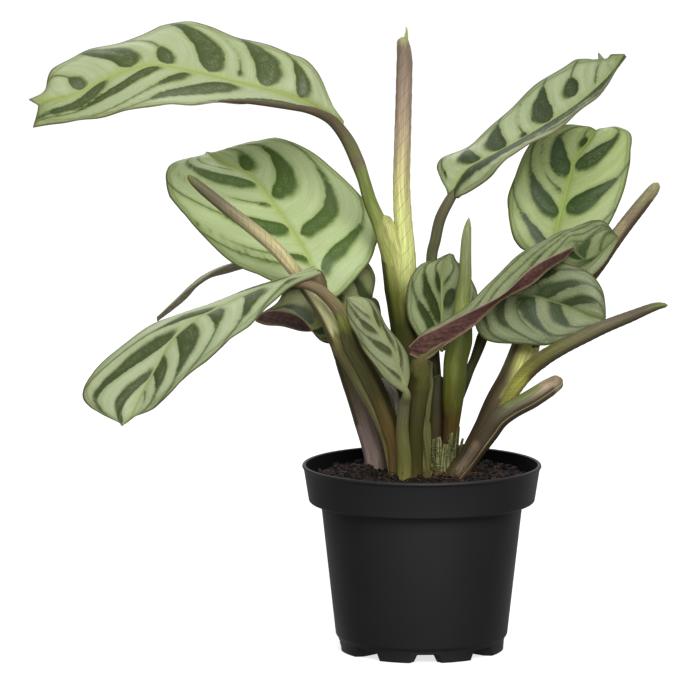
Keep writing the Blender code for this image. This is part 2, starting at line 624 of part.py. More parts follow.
def torn_sheath(name, grow=0.0):
    """A ragged collar of old sheath that stands in the soil round the middle shoots."""
    draw = random.Random(7)
    low_turn, high_turn = (math.radians(a) for a in TORN_SHEATH_ARC)
    low_turn -= grow * 0.1
    high_turn += grow * 0.1
    rows = []
    for k in range(TORN_SHEATH_COLUMNS):
        share = k / (TORN_SHEATH_COLUMNS - 1)
        turn = low_turn + (high_turn - low_turn) * share
        top = draw.uniform(*TORN_SHEATH_HEIGHT) - (6 if k % 3 == 0 else 0)
        base = SOIL_TOP - 4 - grow
        ring = []
        for extra, height in ((0.0 - grow, base), (0.8 + grow, base), (0.8 + grow, top), (0.0 - grow, top)):
            lean = 0.04 * (height - base)
            x = TORN_SHEATH_CENTRE[0] + (TORN_SHEATH_RADII[0] + extra + lean) * math.cos(turn)
            y = TORN_SHEATH_CENTRE[1] + (TORN_SHEATH_RADII[1] + extra + lean) * math.sin(turn)
            ring.append((x, y, height))
        rows.append(ring)
    points = [p for ring in rows for p in ring]
    faces = [(0, 1, 2, 3)]
    for i in range(len(rows) - 1):
        for k in range(4):
            a, b = 4 * i + k, 4 * i + (k + 1) % 4
            faces.append((a, a + 4, b + 4, b))
    last = 4 * (len(rows) - 1)
    faces.append((last + 3, last + 2, last + 1, last))
    faces = [t for face in faces for t in ((face[0], face[1], face[2]), (face[0], face[2], face[3]))]
    return solid(name, points, faces, "dry", sharp=30)


def build():
    for leftover in list(bpy.data.objects):
        bpy.data.objects.remove(leftover)
    add_pot()
    add_soil()
    for name in BLADES:
        kind = {"dry_sheath": "dry", "folded_right_leaf": "folded_blade"}.get(name, "blade")
        add_blade(name, kind)
    kinds = {
        "tall_rolled_leaf": "rolled_green", "left_rolled_leaf": "rolled", "right_rolled_leaf": "rolled",
        "left_shoot": "brown_stem", "right_shoot": "brown_stem", "dark_shoot": "dark_stem",
        "slim_shoot": "dark_stem",
    }
    for name in STEMS:
        add_shoot(name, kinds.get(name, "stem"))
    torn_sheath("torn_sheath")


build()
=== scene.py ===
"""Looks of the potted prayer plant: patterned blades, sheathed shoots, peat and a nursery pot.

Lengths in the tables are millimetres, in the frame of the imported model: the origin at the centre
of the pot's foot, +Z up, the plant's front towards -Y.
"""

import json
import math
import random

import bpy
import numpy as np
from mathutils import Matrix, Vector, noise

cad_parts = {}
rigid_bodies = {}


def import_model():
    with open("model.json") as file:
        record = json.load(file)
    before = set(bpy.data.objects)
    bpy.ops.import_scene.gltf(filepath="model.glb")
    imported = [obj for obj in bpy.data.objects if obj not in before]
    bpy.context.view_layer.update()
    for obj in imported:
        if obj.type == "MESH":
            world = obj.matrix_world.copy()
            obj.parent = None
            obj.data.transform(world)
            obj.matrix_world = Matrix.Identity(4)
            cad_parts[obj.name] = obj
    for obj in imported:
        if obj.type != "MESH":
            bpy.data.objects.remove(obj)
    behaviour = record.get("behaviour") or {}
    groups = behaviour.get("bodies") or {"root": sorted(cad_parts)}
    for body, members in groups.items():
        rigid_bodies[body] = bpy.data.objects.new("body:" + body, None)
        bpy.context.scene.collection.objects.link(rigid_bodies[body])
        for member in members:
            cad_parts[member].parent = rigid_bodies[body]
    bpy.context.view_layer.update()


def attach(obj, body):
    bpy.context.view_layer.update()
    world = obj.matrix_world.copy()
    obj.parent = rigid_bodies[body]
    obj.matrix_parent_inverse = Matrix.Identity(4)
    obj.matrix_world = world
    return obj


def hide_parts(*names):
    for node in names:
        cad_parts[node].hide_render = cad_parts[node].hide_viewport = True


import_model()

MM = 0.001

# Camera: the photograph's frame is 696 pixels square and shows the pot at 2 pixels a millimetre
FRAME_PIXELS = 696
PIXELS_PER_MM = 2.0
CAMERA_DISTANCE = 3000.0
CAMERA_RISE = math.radians(8.2)
CAMERA_AIM = (-37.0, 0.0, 152.55)
SENSOR_WIDTH = 36.0

# Blades. They are quilted between their side veins, ruffled along their edges and grooved over the
# midrib. A half of the full width or more has all of its arch, quilting or ruffle, a narrower one less.
BLADE_THICKNESS = 0.4
BLADE_STEP = 1.3
BLADE_COLUMNS = 40
ARCH_FULL_WIDTH = 15.0
QUILT_FULL_WIDTH = 12.0
QUILT_SPACING = 7.0
QUILT_DEPTH = 0.22
RUFFLE_LENGTH = 4.1
RUFFLE_DEPTH = 0.5
VEIN_SPACING = 1.5
LINE_HALF_WIDTH = 0.34
GATHER_DISTANCE = 2.4
RIB_HEIGHT = 1.2
RIB_HALF_WIDTH = 1.1
RIB_GROOVE = 0.3

# Stems. A leaf sheath is wider than it is deep, and steps in at its free margin by a share of its
# radius, as a rolled leaf does at each turn.
STEM_SIDES = 40
STEM_STEP = 1.2
FIBRE_SPACING = 0.7
SHEATHS = ("sheath", "split")
SHEATH_FORM = (1.08, 0.94)
MARGIN_STEP = 0.1
LAP_STEP = 0.05

# Peat: its top in the middle and by the wall, and its side from the top down as (radius, height)
SOIL_TOP = 89.5
SOIL_EDGE = 86.6
PEAT_RADIUS = 55.2
PEAT_SIDE = ((55.2, 80.0), (49.0, 76.0), (41.8, 9.0), (39.6, 6.6))
PEAT_SEGMENTS = 220
PEAT_STEP = 0.9
CRUMB_COUNT = 1500
CRUMB_SMALLEST = 0.45
CRUMB_SPREAD = 1.9
FIBRE_COUNT = 90
ROOTLET_COUNT = 110

# Each blade is a list of stations from its foot to its tip. A station holds a point on the left
# edge, the midrib and the right edge, as seen on the upper face with the tip upward.
BLADES = {
    "tall_leaf": (
        ((-40, 1, 265), (-39, 3, 265), (-39, 4, 266)),
        ((-50, -4, 272), (-49, 2, 271), (-46, 6, 278)),
        ((-62, -13, 276), (-60, 0, 277), (-55, 10, 293)),
        ((-79, -22, 278), (-76, -3, 283), (-68, 14, 300)),
        ((-98, -31, 279), (-96, -6, 288), (-91, 14, 307)),
        ((-116, -35, 279), (-115, -9, 293), (-117, 11, 316)),
        ((-134, -36, 278), (-135, -12, 296), (-140, 6, 308)),
        ((-153, -32, 273), (-155, -14, 290), (-164, 1, 302)),
        ((-171, -25, 269), (-173, -16, 281), (-182, -7, 294)),
        ((-183, -20, 267), (-186, -17, 279), (-187, -13, 283)),
        ((-193, -18, 265), (-190, -17, 276), (-195, -15, 279)),
    ),
    "broad_left_leaf": (
        ((-53, 8, 189), (-52, 8, 190), (-51, 8, 189)),
        ((-66, 9, 184), (-55, 12, 194), (-44, 8, 177)),
        ((-80, 11, 186), (-59, 18, 200), (-30, 12, 190)),
        ((-98, 18, 195), (-66, 28, 210), (-22, 20, 202)),
        ((-114, 29, 209), (-74, 38, 220), (-24, 30, 214)),
        ((-124, 38, 221), (-82, 46, 230), (-37, 38, 231)),
        ((-129, 46, 231), (-91, 53, 236), (-55, 48, 245)),
        ((-127, 54, 238), (-99, 58, 238), (-75, 56, 252)),
        ((-118, 60, 241), (-105, 62, 241), (-93, 62, 248)),
        ((-110, 66, 242), (-109, 66, 244), (-105, 66, 242)),
    ),
    "front_left_leaf": (
        ((-50, -23, 193), (-52, -20, 194), (-54, -17, 196)),
        ((-64, -30, 188), (-67, -26, 191), (-70, -19, 190)),
        ((-73, -40, 182), (-81, -32, 187), (-89, -24, 184)),
        ((-84, -51, 173), (-97, -38, 180), (-108, -27, 177)),
        ((-96, -56, 163), (-112, -43, 173), (-127, -31, 172)),
        ((-111, -58, 151), (-124, -48, 163), (-146, -38, 162)),
        ((-122, -60, 140), (-131, -52, 151), (-162, -44, 148)),
        ((-133, -60, 131), (-138, -56, 139), (-168, -50, 136)),
        ((-141, -61, 127), (-143, -60, 129), (-158, -57, 128)),
        ((-147.2, -62, 123.4), (-148, -62, 123), (-148.6, -62, 123.8)),
    ),
    "edge_on_leaf": (
        ((-62, 26, 187), (-62, 36, 185), (-62, 42, 184)),
        ((-76, 20, 191), (-76, 38, 189), (-77, 54, 186)),
        ((-91, 22, 192.6), (-92, 40, 188.6), (-92, 58, 184.6)),
        ((-109, 26, 185.2), (-109, 43, 182.2), (-110, 60, 178.2)),
        ((-123.4, 34, 172.2), (-123.4, 46, 169.2), (-123.4, 58, 166.2)),
        ((-134, 45, 162), (-134, 46, 161), (-134, 47, 160)),
    ),
    "low_left_leaf": (
        ((-25, 25, 171), (-25, 26, 173), (-24.6, 27, 175)),
        ((-30, 20, 160), (-31, 25, 172), (-23.4, 27, 186)),
        ((-38, 15, 154), (-40, 24, 169), (-30, 26, 194)),
        ((-50, 12, 154.6), (-51, 20, 161), (-46, 27, 192)),
        ((-60, 10, 166), (-60, 17, 159.4), (-65, 26, 184)),
        ((-69, 10, 170), (-70, 15, 162), (-72, 22, 173)),
        ((-78, 10, 170), (-78, 12, 163), (-79, 16, 169)),
        ((-83, 9, 167), (-83, 10, 165), (-84, 11, 166)),
    ),
    "front_small_leaf": (
        ((-10, -34, 135), (-8, -34, 135), (-8, -33, 136)),
        ((-17, -37, 141), (-10, -34, 142), (-6, -30, 144)),
        ((-26, -40, 152), (-13, -36, 152), (-7, -30, 152)),
        ((-32, -42, 162), (-17, -38, 161), (-12, -31, 161)),
        ((-36, -44, 170), (-22, -40, 168), (-18, -33, 169)),
        ((-38, -45, 179), (-27, -42, 177), (-22, -35, 177)),
        ((-38, -45, 183), (-33, -43, 182), (-26, -37, 182)),
        ((-38, -44, 184), (-37, -43, 184), (-35, -41, 185)),
    ),
    "centre_leaf": (
        ((9, 1, 151), (10, 1, 151), (11, 1, 151)),
        ((1, -1, 155), (10, 3, 155), (18, 2.5, 154)),
        ((-6, -3, 166), (10, 5, 164), (25, 4, 163)),
        ((-8, -3, 177), (10, 7, 175), (28, 4, 175)),
        ((-6, -2, 187), (10, 9, 184), (25, 6, 186)),
        ((-1, 4, 194), (11, 11, 191), (21, 9, 192)),
        ((7, 10.5, 196), (12, 12, 195), (17, 11.5, 195)),
        ((12, 13, 198), (14, 13.5, 198.6), (16, 13, 198)),
    ),
    "upper_right_leaf": (
        ((14, 12, 227), (15, 12, 227), (16, 11, 227)),
        ((9, 18, 236), (17, 12, 234), (21, 5, 229)),
        ((10, 24, 245), (23, 12, 242), (32, -2, 238)),
        ((26, 26, 253), (36, 11, 249), (40, -6, 247)),
        ((40, 27, 266), (49, 11, 256), (52, -7, 255)),
        ((54, 26, 279), (62, 10, 264), (66, -7, 263)),
        ((67, 22, 289), (76, 8, 273), (80, -6, 274)),
        ((81, 16, 296), (87, 6, 283), (91, -4, 283)),
        ((89, 8, 298), (95, 4, 291), (97, -1, 293)),
        ((99, 1, 300), (100, 0, 300), (101, -1, 299)),
    ),
    "round_right_leaf": (
        ((64, 30, 195), (66, 30, 195), (67, 30, 195)),
        ((52, 30, 199), (67, 32, 202), (85, 30, 199)),
        ((45, 32, 210), (69, 36, 211), (94, 33, 210)),
        ((43, 37, 222), (72, 42, 221), (100, 38, 222)),
        ((47, 43, 234), (75, 48, 232), (104, 44, 234)),
        ((53, 50, 246), (78, 54, 240), (107, 51, 246)),
        ((61, 56, 255), (82, 59, 246), (107, 58, 254)),
        ((74, 62, 258), (86, 63, 250), (101, 63, 257)),
        ((85, 67, 257), (89, 67, 255), (94, 67, 256)),
    ),
    "folded_right_leaf": (
        ((-6, -28, 158), (-6, -30, 155), (-7, -33, 158)),
        ((1, -27, 165), (1, -30, 152), (-1, -35, 164)),
        ((11, -26, 170), (9, -29, 158), (8, -34, 168)),
        ((25, -24, 180), (24, -28, 168), (22, -33, 175)),
        ((38, -16, 193), (38, -26, 181), (38, -31, 183)),
        ((51, -9, 203), (53, -23, 188), (50, -29, 194)),
        ((62, -4, 208), (62, -18, 195), (60, -24, 200)),
        ((69, -2, 211.4), (69.4, -14, 199.4), (69, -18, 203.2)),
        ((74, 0, 213.4), (74.4, -12, 203.8), (74.8, -13, 205)),
        ((76.4, 1, 214.4), (77.2, -9.4, 201), (67.6, -9.5, 198)),
        ((80, 2, 215), (81.4, -6.8, 198), (67, -8, 189)),
        ((86, 4, 216), (87, -1.6, 199.4), (80, -4, 187)),
        ((92, 5, 215), (92.4, 2.6, 203.4), (90, -1, 194)),
        ((97, 7, 209), (98, 7, 208), (98, 6, 206)),
    ),
    "striped_right_leaf": (
        ((34, -2, 181), (33, -3, 180), (31.6, -4, 177.4)),
        ((37, 0, 188), (37, -5, 180), (26, -8, 168)),
        ((46, 1, 194), (46, -7, 180), (31, -13, 159)),
        ((57, -2, 197), (56, -9, 180), (46, -17, 157)),
        ((68, -8, 197), (67, -11, 177), (61, -20, 157)),
        ((82, -11, 193), (76, -13, 174), (73, -20, 161)),
        ((89.4, -13, 184), (83, -15, 171), (81, -19, 165)),
        ((91.2, -14.5, 176), (87.4, -16, 170), (85.4, -18, 166)),
        ((91.4, -16, 171), (90.8, -16.4, 168.6), (89.6, -17, 166.6)),
    ),
    "dry_sheath": (
        ((-16, -3, 90.2), (-13, -3, 90.2), (-10, -3, 90.2)),
        ((-15, -3, 110), (-12, -4, 110), (-9, -3, 110)),
        ((-17, -3, 124), (-14, -4, 125), (-11, -3, 126)),
        ((-20, -3, 132), (-17, -4, 133), (-14, -3, 134)),
        ((-23, -3, 137), (-22, -3, 138), (-20, -3, 138)),
    ),
}

# How far each half of a blade arches up between the midrib and its edge.
ARCH = 1.5
ARCHES = {
    "tall_leaf": (-2.0, 2.0),
    "dry_sheath": (0.5, 0.5),
    "folded_right_leaf": (1.0, -0.8),
    "low_left_leaf": (-0.8, 1.0),
}

# Where a leaf's edge bulges or draws in: (share of the midrib, millimetres outward).
EDGE_FORMS = {
    "tall_leaf": {
        "left": ((0.05, 0), (0.1, 1.6), (0.17, -0.6), (0.3, 0.7), (0.5, 1.1), (0.6, 0.7), (0.66, -0.5),
                 (1, -0.4)),
        "right": ((0, -0.5), (0.05, -1.6), (0.1, 1.2), (0.14, 0), (0.2, 1), (0.27, -0.2), (0.36, 0.6),
                  (0.47, -1.7), (0.53, -0.4), (0.58, 2.3), (0.63, 1), (0.68, 0.6), (0.77, 1), (0.82, 0),
                  (0.9, 1.1), (0.95, 1.2), (1, 0)),
    },
    "broad_left_leaf": {
        "left": ((0.1, 0), (0.18, -1.4), (0.27, -0.2), (0.55, -0.7), (0.67, 1.2), (0.76, 0), (0.91, 1.2),
                 (0.95, -0.7)),
        "right": ((0.2, 0.4), (0.3, -1), (0.45, 0.4), (0.58, 1.2), (0.7, 0), (0.77, 0.8), (0.86, 1.3),
                  (0.885, -1.7), (0.92, 1), (1, 0)),
    },
    "front_left_leaf": {
        "left": ((0.3, 0), (0.4, 0.6), (0.49, -0.7), (0.6, 0.5), (0.71, -1), (0.84, 0.4), (0.94, -0.5),
                 (1, 0.4)),
        "right": ((0.2, 0), (0.3, 0.5), (0.45, -0.5), (0.58, -1.3), (0.69, -0.2), (0.76, -1), (0.85, -0.1),
                  (0.91, 0.8), (0.96, -0.7)),
    },
    "edge_on_leaf": {
        "left": ((0.35, 0), (0.5, 0.6), (1, 0.7)),
        "right": ((0.3, 0), (0.4, -0.8), (0.8, -0.7), (0.9, 0.6)),
    },
    "front_small_leaf": {
        "left": ((0, 0), (0.15, 0.8), (0.27, -0.6), (0.4, 0.5), (0.55, -0.5), (0.7, 0.6), (0.85, -0.4),
                 (1, 0)),
        "right": ((0, 0), (0.2, -0.6), (0.35, 0.6), (0.5, -0.4), (0.65, 0.6), (0.8, -0.5), (1, 0)),
    },
    "centre_leaf": {
        "left": ((0, 0), (0.3, 0.4), (0.5, -0.4), (0.7, 0.4), (0.9, -0.5), (1, 0.4)),
        "right": ((0, 0), (0.4, -0.3), (0.6, 0.5), (0.8, -0.4), (0.92, 0.5), (1, 0)),
    },
    "upper_right_leaf": {
        "left": ((0, 1.5), (0.03, -1), (0.06, -0.4), (0.1, 0.8), (0.18, -0.5), (0.3, 0.7), (0.38, -0.3),
                 (0.5, 0.5), (0.72, 0.5), (0.77, 1.6), (0.8, 0.2), (0.85, -1.6), (0.885, -1.2), (0.9, 4.4),
                 (0.912, -1.8), (0.93, -1.4), (0.955, 0.8), (1, 0)),
        "right": ((0, 2), (0.05, -0.3), (0.2, 1.4), (0.25, 0.9), (0.3, -0.8), (0.45, 0.2), (0.6, 0.7),
                  (0.75, -0.3), (0.81, -1), (0.9, -0.4), (1, 0.3)),
    },
    "round_right_leaf": {
        "left": ((0, 0), (0.1, 1.7), (0.16, 1.5), (0.25, 0), (0.33, -0.7), (0.42, -0.2), (0.56, -0.4),
                 (0.7, 0.4), (0.9, 0)),
        "right": ((0.25, 0.2), (0.5, 0.5), (0.63, 0), (0.7, -1), (0.85, -0.3), (0.94, -0.7), (1, 0.2)),
    },
    "folded_right_leaf": {
        "left": ((0, 0), (0.3, 0.4), (0.45, -0.5), (0.6, 0.5), (0.75, -0.5), (0.9, 0.5), (1, 0)),
        "right": ((0, 0), (0.3, 0.3), (0.5, -0.3), (0.7, 0.5), (0.85, -0.5), (1, 0)),
    },
    "striped_right_leaf": {
        "left": ((0, 0), (0.3, -0.3), (0.5, 0.4), (0.7, -0.4), (0.85, 0.4), (1, -0.6)),
        "right": ((0, 0), (0.3, 0.4), (0.45, -0.3), (0.6, 0.4), (0.8, -0.6), (1, 0)),
    },
}

# Half width of a dark marking along its reach, as shares: place, width.
BAR_PROFILE = ((0.0, 0.0), (0.03, 0.5), (0.12, 0.85), (0.3, 1.0), (0.5, 0.93), (0.65, 0.7), (0.8, 0.35),
               (1.0, 0.05))
# How fast a marking falls off on the side of the leaf's tip, of its foot and of the midrib.
BAR_TIPWARD = 1.3
BAR_FOOTWARD = 0.95
BAR_RIBWARD = 1.2
# A distance in millimetres that is far from every marking.
FAR_AWAY = 9.0

# Dark markings of each half. A marking lies along a side vein, which leaves the midrib at a share
# of its length and sweeps forward by sweep[0] * w + sweep[1] * w ** 3, with w from 0 at the midrib
# to 1 at the edge. Each one is (share at the midrib, w where it starts, w where it ends, half width in
# mm), and after that its own lean forward in shares where it leans more than the others.
MARKINGS = {
    "tall_leaf": {
        "left": ((0.22, 0.2), ((0.08, 0.4, 1.0, 4.6), (0.36, 0.1, 0.9, 6), (0.5, 0.07, 0.55, 2.8),
                               (0.6, 0.03, 0.6, 5.2, 0.22), (0.78, 0.01, 0.65, 4.2, 0.06))),
        "right": ((0.02, 0.09), ((0.155, 0.04, 0.95, 4.8), (0.275, 0.03, 1.12, 7.2), (0.355, 0.09, 0.28, 1.8),
                                 (0.445, 0.04, 1.08, 7.2), (0.58, 0.03, 0.5, 5.2), (0.69, 0.04, 1.1, 7),
                                 (0.85, 0.04, 0.55, 4.4))),
    },
    "broad_left_leaf": {
        "left": ((0.22, 0.25), ((0.0, 0.5, 0.9, 1.4), (0.09, 0.05, 0.45, 2.6), (0.31, 0.03, 0.75, 5.2),
                                (0.475, 0.04, 0.25, 1.6), (0.625, 0.03, 0.75, 5), (0.75, 0.1, 0.4, 1))),
        "right": ((0.33, 0.28), ((-0.01, 0.3, 0.95, 4.2), (0.25, 0.08, 0.95, 4.6), (0.53, 0.04, 0.78, 5),
                                 (0.75, 0.03, 0.45, 3.6, -0.1))),
    },
    "front_left_leaf": {
        "left": ((0.02, 0.25), ((0.1, -0.2, 0.7, 2.6), (0.28, -0.3, 0.85, 6.2), (0.44, -0.2, 0.6, 4.8),
                                (0.575, -0.15, 0.8, 7), (0.735, -0.15, 0.65, 6.4), (0.84, 0.1, 0.3, 0.6))),
        "right": ((0.2, 0.2), ((0.15, 0.1, 0.6, 3), (0.44, 0.04, 0.65, 3.6), (0.615, 0.03, 0.9, 5.4),
                               (0.775, 0.0, 0.6, 5, 0.12))),
    },
    "edge_on_leaf": {
        "left": ((0.1, 0.3), ((0.2, 0.05, 0.7, 4), (0.45, 0.05, 0.7, 4), (0.7, 0.05, 0.6, 3))),
        "right": ((0.1, 0.3), ((0.12, 0.05, 0.7, 4), (0.35, 0.05, 0.7, 4), (0.6, 0.05, 0.7, 3.4))),
    },
    "low_left_leaf": {
        "left": ((0.2, 0.3), ((0.15, 0.06, 0.8, 3.2), (0.4, 0.06, 0.8, 3.6), (0.65, 0.06, 0.7, 2.6))),
        "right": ((0.2, 0.3), ((0.05, 0.06, 0.9, 3.2), (0.28, 0.06, 0.9, 3.6), (0.52, 0.06, 0.8, 2.6))),
    },
    "front_small_leaf": {
        "left": ((0.12, 0.3), ((0.12, 0.1, 0.7, 1.6), (0.38, 0.05, 0.75, 3.2), (0.57, 0.12, 0.8, 2.8),
                               (0.72, 0.1, 0.6, 1.2))),
        "right": ((0.3, 0.3), ((0.2, 0.07, 0.7, 1.4), (0.44, 0.07, 0.7, 2.2), (0.62, 0.07, 0.7, 2.2))),
    },
    "centre_leaf": {
        "left": ((0.5, 0.2), ((0.05, 0.2, 0.85, 3.6), (0.33, 0.03, 0.8, 4), (0.61, 0.03, 0.4, 2.4))),
        "right": ((0.25, 0.3), ((0.12, 0.1, 0.8, 3), (0.47, 0.02, 0.5, 4), (0.66, 0.07, 0.4, 1))),
    },
    "upper_right_leaf": {
        "left": ((0.0, 0.09), ((0.07, 0.5, 0.8, 1.4), (0.195, 0.0, 0.84, 5), (0.32, 0.0, 0.92, 5.8),
                               (0.43, 0.0, 0.17, 2.4), (0.545, 0.02, 0.88, 6.6), (0.7, 0.2, 0.72, 5.4),
                               (0.8, 0.1, 0.4, 0.6, 0.08))),
        "right": ((0.5, 0.3), ((-0.05, 0.2, 0.9, 3), (0.14, 0.05, 0.9, 4.2), (0.36, 0.05, 0.8, 4.6),
                               (0.56, 0.05, 0.7, 4))),
    },
    "round_right_leaf": {
        "left": ((0.22, 0.3), ((0.02, 0.14, 0.9, 3.4), (0.3, 0.04, 0.85, 5.2), (0.45, 0.08, 0.3, 1),
                               (0.61, 0.02, 0.72, 5.6), (0.84, 0.02, 0.26, 2.8))),
        "right": ((0.08, 0.22), ((0.05, 0.3, 0.9, 2.8), (0.35, 0.07, 0.9, 6.8), (0.675, 0.03, 0.8, 6.4))),
    },
    "folded_right_leaf": {
        "left": ((0.25, 0.25), ((0.1, 0.1, 0.9, 1), (0.3, 0.1, 0.9, 0.8), (0.42, 0.15, 0.9, 1.2),
                                (0.55, 0.2, 0.9, 0.7), (0.66, 0.3, 0.9, 1.1), (0.8, -0.1, 0.7, 2.2, -0.25),
                                (0.9, 0.0, 0.7, 0.6, -0.26))),
        "right": ((-0.1, -0.1), ((0.3, 0.1, 0.9, 3), (0.55, 0.1, 0.9, 3), (0.8, 0.0, 0.8, 3),
                                 (0.88, 0.05, 0.3, 0.8))),
    },
    "striped_right_leaf": {
        "left": ((0.35, 0.2), ((-0.08, 0.2, 0.95, 2.6), (0.2, 0.1, 0.9, 3.2), (0.43, -0.08, 0.8, 3.8),
                               (0.65, -0.08, 0.7, 2.8))),
        "right": ((0.1, 0.35), ((-0.06, 0.3, 0.95, 2.2), (0.14, 0.0, 0.85, 3), (0.27, 0.02, 0.42, 0.8),
                                (0.36, -0.08, 0.85, 4), (0.57, -0.06, 0.75, 3.8))),
    },
}

# Leaf tints: pale ground, yellow-green ground by the midrib, greener ground by the edge, marking
# at its edge and in its middle, and the underside.
USUAL_TINTS = ("#949e79", "#849148", "#75814a", "#36431a", "#5f6a47", "#5e3a38")
TINTS = {
    "broad_left_leaf": ("#a2b180", "#8f9f52", "#7e8f50", "#3b511a", "#657748", "#5e3a38"),
    "front_left_leaf": ("#98a27f", "#858f5c", "#747f54", "#323f1a", "#56613f", "#5e3a38"),
    # The edge-on leaf's tints are lifted, and its underside made pale, to make up for the shade it stands in:
    # painted light.
    "edge_on_leaf": ("#a9ae87", "#a3aa74", "#8f9670", "#55603f", "#606a4b", "#b0ae8c"),
    # The low left leaf's tints are darker for the shade it stands in: painted shade.
    "low_left_leaf": ("#878d5f", "#7f8b48", "#6d7746", "#313f1c", "#42502c", "#40322e"),
    "front_small_leaf": ("#868d6d", "#7f8658", "#6c734b", "#3f4426", "#555b3a", "#5e3a38"),
    "centre_leaf": ("#868f68", "#788252", "#646e42", "#2a3614", "#47542f", "#5e3a38"),
    "upper_right_leaf": ("#96a07b", "#85945a", "#717e4d", "#2d381d", "#4c573c", "#5e3a38"),
    "round_right_leaf": ("#919f68", "#7f9244", "#67783a", "#243809", "#50613a", "#5e3a38"),
    "folded_right_leaf": ("#757f59", "#6f794a", "#616b40", "#2f3e1d", "#40522b", "#4a2f29"),
    "striped_right_leaf": ("#747c5a", "#666f41", "#57613a", "#2a3516", "#45553a", "#5e3a38"),
}

# Midribs that show darker than the ground beside them.
RIBS = {"folded_right_leaf": "#5a6a38", "striped_right_leaf": "#4c5c2c"}

